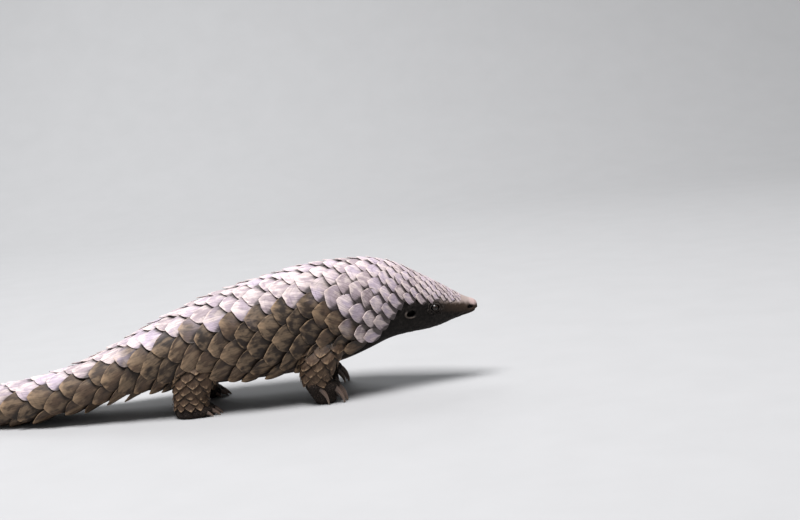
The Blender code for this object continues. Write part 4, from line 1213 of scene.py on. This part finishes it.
def skin_finish():
    skin_ = Finish("bare_skin")
    parts = skin_.node("ShaderNodeSeparateXYZ", sockets={0: skin_.place()}).socket.node.outputs
    x, z = Value(skin_.tree, parts[0]), Value(skin_.tree, parts[2])
    crease_ = skin_.node("ShaderNodeAttribute", {"attribute_name": "crease"}, out="Fac")
    behind_ = (NOSE_X + BODY_AT.x) / MM - x
    over_side = z - behind_ * 0.19
    mottle = skin_.noise(skin_.place(), 0.35, 4.0)
    pores = skin_.noise(skin_.place(), 1.9, 3.0, 0.7)
    # Painted shade: the base colour of the bare skin is darkened to stand for the shade on the face and throat.
    colour = skin_.mix(mottle.ramp(0.40, 0.85) * 0.5, FACE_DARK_SHADED, FACE_FOLD)
    flank = behind_.ramp(40.0, 16.0) * (over_side + (mottle - 0.5) * 6.0).ramp(52.5, 58.5)
    colour = skin_.mix(flank, colour, SNOUT_SIDE)
    snout = behind_.ramp(44.0, 22.0) * (over_side + (mottle - 0.5) * 4.0).ramp(61.0, 65.5)
    colour = skin_.mix(snout, colour, SNOUT_TOP)
    tip = behind_.ramp(8.5, 3.5) * z.ramp(61.0, 64.5)
    colour = skin_.mix(tip, colour, NOSE_TIP)
    ear_fold = crease_.ramp(0.5, 1.2) * behind_.ramp(50.0, 52.0)
    colour = skin_.mix(crease_.ramp(0.12, 0.75) * behind_.ramp(75.0, 60.0) * 0.8, colour, FACE_FOLD)
    colour = skin_.mix(ear_fold * behind_.ramp(66.0, 62.0), colour, EAR_FOLD)
    # Painted shade in the sunken places: creases, mouth line, nostrils, ear holes and the gaps round the eyes.
    colour = skin_.mix(crease_.ramp(-0.05, -0.6) * 0.9, colour, CREASE_SHADE)
    belly = behind_.ramp(70.0, 110.0) * z.ramp(36.0, 24.0)
    colour = skin_.mix(belly * 0.8, colour, BELLY)
    foot = behind_.ramp(96.0, 104.0) * z.ramp(30.0, 22.0)
    cells = {"Vector": skin_.place((1.0, 1.0, 1.5)), "Scale": 0.50}
    leather = skin_.node("ShaderNodeTexVoronoi", {"feature": "DISTANCE_TO_EDGE"}, cells, out="Distance")
    # Painted light on the feet: the dark foot colour is partly painted shade, and the paler pad tops a painted
    # highlight.
    colour = skin_.mix(foot, colour, skin_.mix(leather.ramp(0.10, 0.45) * mottle, FOOT, FOOT_PAD_HIGHLIGHT))
    # Painted shade in the cracks between the foot's pads.
    colour = skin_.mix(foot * leather.ramp(0.09, 0.01) * 0.7, colour, CREASE_SHADE)
    rough = 0.60 + mottle * 0.18
    relief = skin_.bump(pores, 0.5, 0.00018)
    relief = skin_.bump(leather.ramp(0.0, 0.30) * foot, 1.0, 0.0006, relief)
    wrinkles = skin_.noise(skin_.place((1.0, 0.25, 0.35)), 0.42, 3.0, 0.6)
    relief = skin_.bump(mottle * 0.4 + wrinkles * 0.6, 0.6, 0.0012, relief)
    skin_.surface.inputs["Specular IOR Level"].default_value = 0.14
    return skin_.give(Base_Color=colour, Roughness=rough, Normal=relief)


skin.data.materials.clear()
skin.data.materials.append(skin_finish())

# %% The claws' and eyes' finishes
def claw_finish():
    horn = Finish("claw_horn_ridged")
    t, angle, seed = horn.attribute("claw")
    streaks = horn.noise(horn.vector(angle * 4.0, t * 2.0, seed), 1.0, 4.0, 0.6)
    dirt = horn.noise(horn.place(), 0.5, 3.0)
    colour = horn.mix(streaks.ramp(0.3, 0.7), (0.080, 0.050, 0.038), (0.19, 0.128, 0.095))
    colour = horn.mix((t + (dirt - 0.5) * 0.4).ramp(0.55, 0.1) * 0.75, colour, (0.060, 0.043, 0.034))
    colour = horn.mix(t.ramp(0.7, 1.0) * 0.5, colour, (0.34, 0.255, 0.19))
    relief = horn.bump(streaks, 0.5, 0.0002)
    return horn.give(Base_Color=colour, Roughness=0.34 + dirt * 0.25, Normal=relief)


def eye_finish():
    wet = Finish("eye_wet")
    front = wet.node("ShaderNodeAttribute", {"attribute_name": "iris"}, out="Fac")
    fibres = wet.noise(wet.place(), 2.6, 3.0)
    iris = front.ramp(0.70, 0.76) * front.ramp(0.93, 0.90)
    colour = wet.mix(iris * (0.4 + fibres * 0.6), (0.004, 0.0035, 0.0035), (0.030, 0.016, 0.009))
    made = wet.give(Base_Color=colour, Roughness=0.20 + fibres * 0.04)
    wet.surface.inputs["Coat Weight"].default_value = 0.25
    wet.surface.inputs["Coat Roughness"].default_value = 0.06
    wet.surface.inputs["Specular IOR Level"].default_value = 0.25
    return made


for pieces, material in ((claws, claw_finish()), (eyes, eye_finish()), (scales, horn_material)):
    for piece in pieces:
        piece.data.materials.clear()
        piece.data.materials.append(material)

# %% [markdown]
# ## The studio
#
# A pale floor that curves up into a backdrop hides the horizon. The photograph has soft daylight from
# above, so a wide cool light hangs over the back, and a weaker one stands behind the animal and catches
# the rims of the scales. The world's even light alone fills the shadows on the camera's side.

# %% Floor, lights and world
FLOOR_HALF, WALL_AT, WALL_BEND = 3.0, 1.3, 0.8

deselect_all()
bpy.ops.mesh.primitive_grid_add(x_subdivisions=2, y_subdivisions=60, size=2.0)
floor = bpy.context.object
floor.name = "studio_floor"
sheet = read_places(floor)
run = (sheet[:, 1] + 1) * FLOOR_HALF
flat = WALL_AT + FLOOR_HALF / 2
bend = np.clip((run - flat) / WALL_BEND, 0.0, math.pi / 2)
rise = np.maximum(run - flat - WALL_BEND * math.pi / 2, 0.0)
depth = np.minimum(run, flat) + WALL_BEND * np.sin(bend) - FLOOR_HALF / 2
height = WALL_BEND * (1 - np.cos(bend)) + rise
write_places(floor, np.stack([sheet[:, 0] * FLOOR_HALF * 1.5, depth, height], axis=1))
bpy.ops.object.shade_smooth()
paper = Finish("studio_paper")
fibres = paper.noise(paper.place((0.02, 0.02, 0.02)), 1.0, 3.0)
floor.data.materials.append(
    paper.give(Base_Color=paper.mix(fibres, (0.38, 0.377, 0.372), (0.41, 0.407, 0.402)), Roughness=0.9)
)
floor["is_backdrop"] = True


def soft_light(name, place, size, watts, colour):
    """A square softbox that faces the middle of the body."""
    place = BODY_AT + Vector(place)
    bpy.ops.object.light_add(type="AREA", location=place)
    lamp = bpy.context.object
    lamp.name = name
    lamp.data.shape = "SQUARE"
    lamp.data.size = size
    lamp.data.energy = watts
    lamp.data.color = colour
    lamp.rotation_euler = (BODY_AT + Vector((0.0, 0.0, 0.06)) - place).to_track_quat("-Z", "Y").to_euler()
    return lamp


soft_light("sky_light", (-0.30, -0.60, 2.60), 1.3, 128.0, (0.97, 0.97, 1.0))
soft_light("back_light", (-0.7, 1.6, 1.5), 1.3, 18.0, (0.93, 0.96, 1.0))
world = bpy.data.worlds.new("studio_world")
world.use_nodes = True
world.node_tree.nodes["Background"].inputs["Color"].default_value = (0.80, 0.84, 0.90, 1.0)
world.node_tree.nodes["Background"].inputs["Strength"].default_value = 0.26
bpy.context.scene.world = world
bpy.context.scene.view_settings.view_transform = "Standard"

# %% [markdown]
# ## Hand the pieces to the frame
#
# The skin stands for every solid of flesh, and the scales, claws and eyes ride with it. The animal is a
# still model, so everything rides on its one body.

# %% Ride and sizes
FLESH = [
    "head", "neck", "torso_front", "torso_rear", "tail_base", "tail_middle", "tail_end", "ear_right", "ear_left",
    *(f"{kind}{part}_{word}" for kind in ("fore", "hind") for part in ("leg", "foot") for word in SIDES),
]
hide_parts(*FLESH)
for pieces, slot in (([skin], "face_skin"), (scales, "scale_horn"), (claws, "claw_horn"), (eyes, "eye_dark")):
    for piece in pieces:
        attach(piece, "root")

shown_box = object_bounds()
low, high = ([round(v / MM, 1) for v in corner] for corner in shown_box)
print("shown from", low, "to", high, "mm")
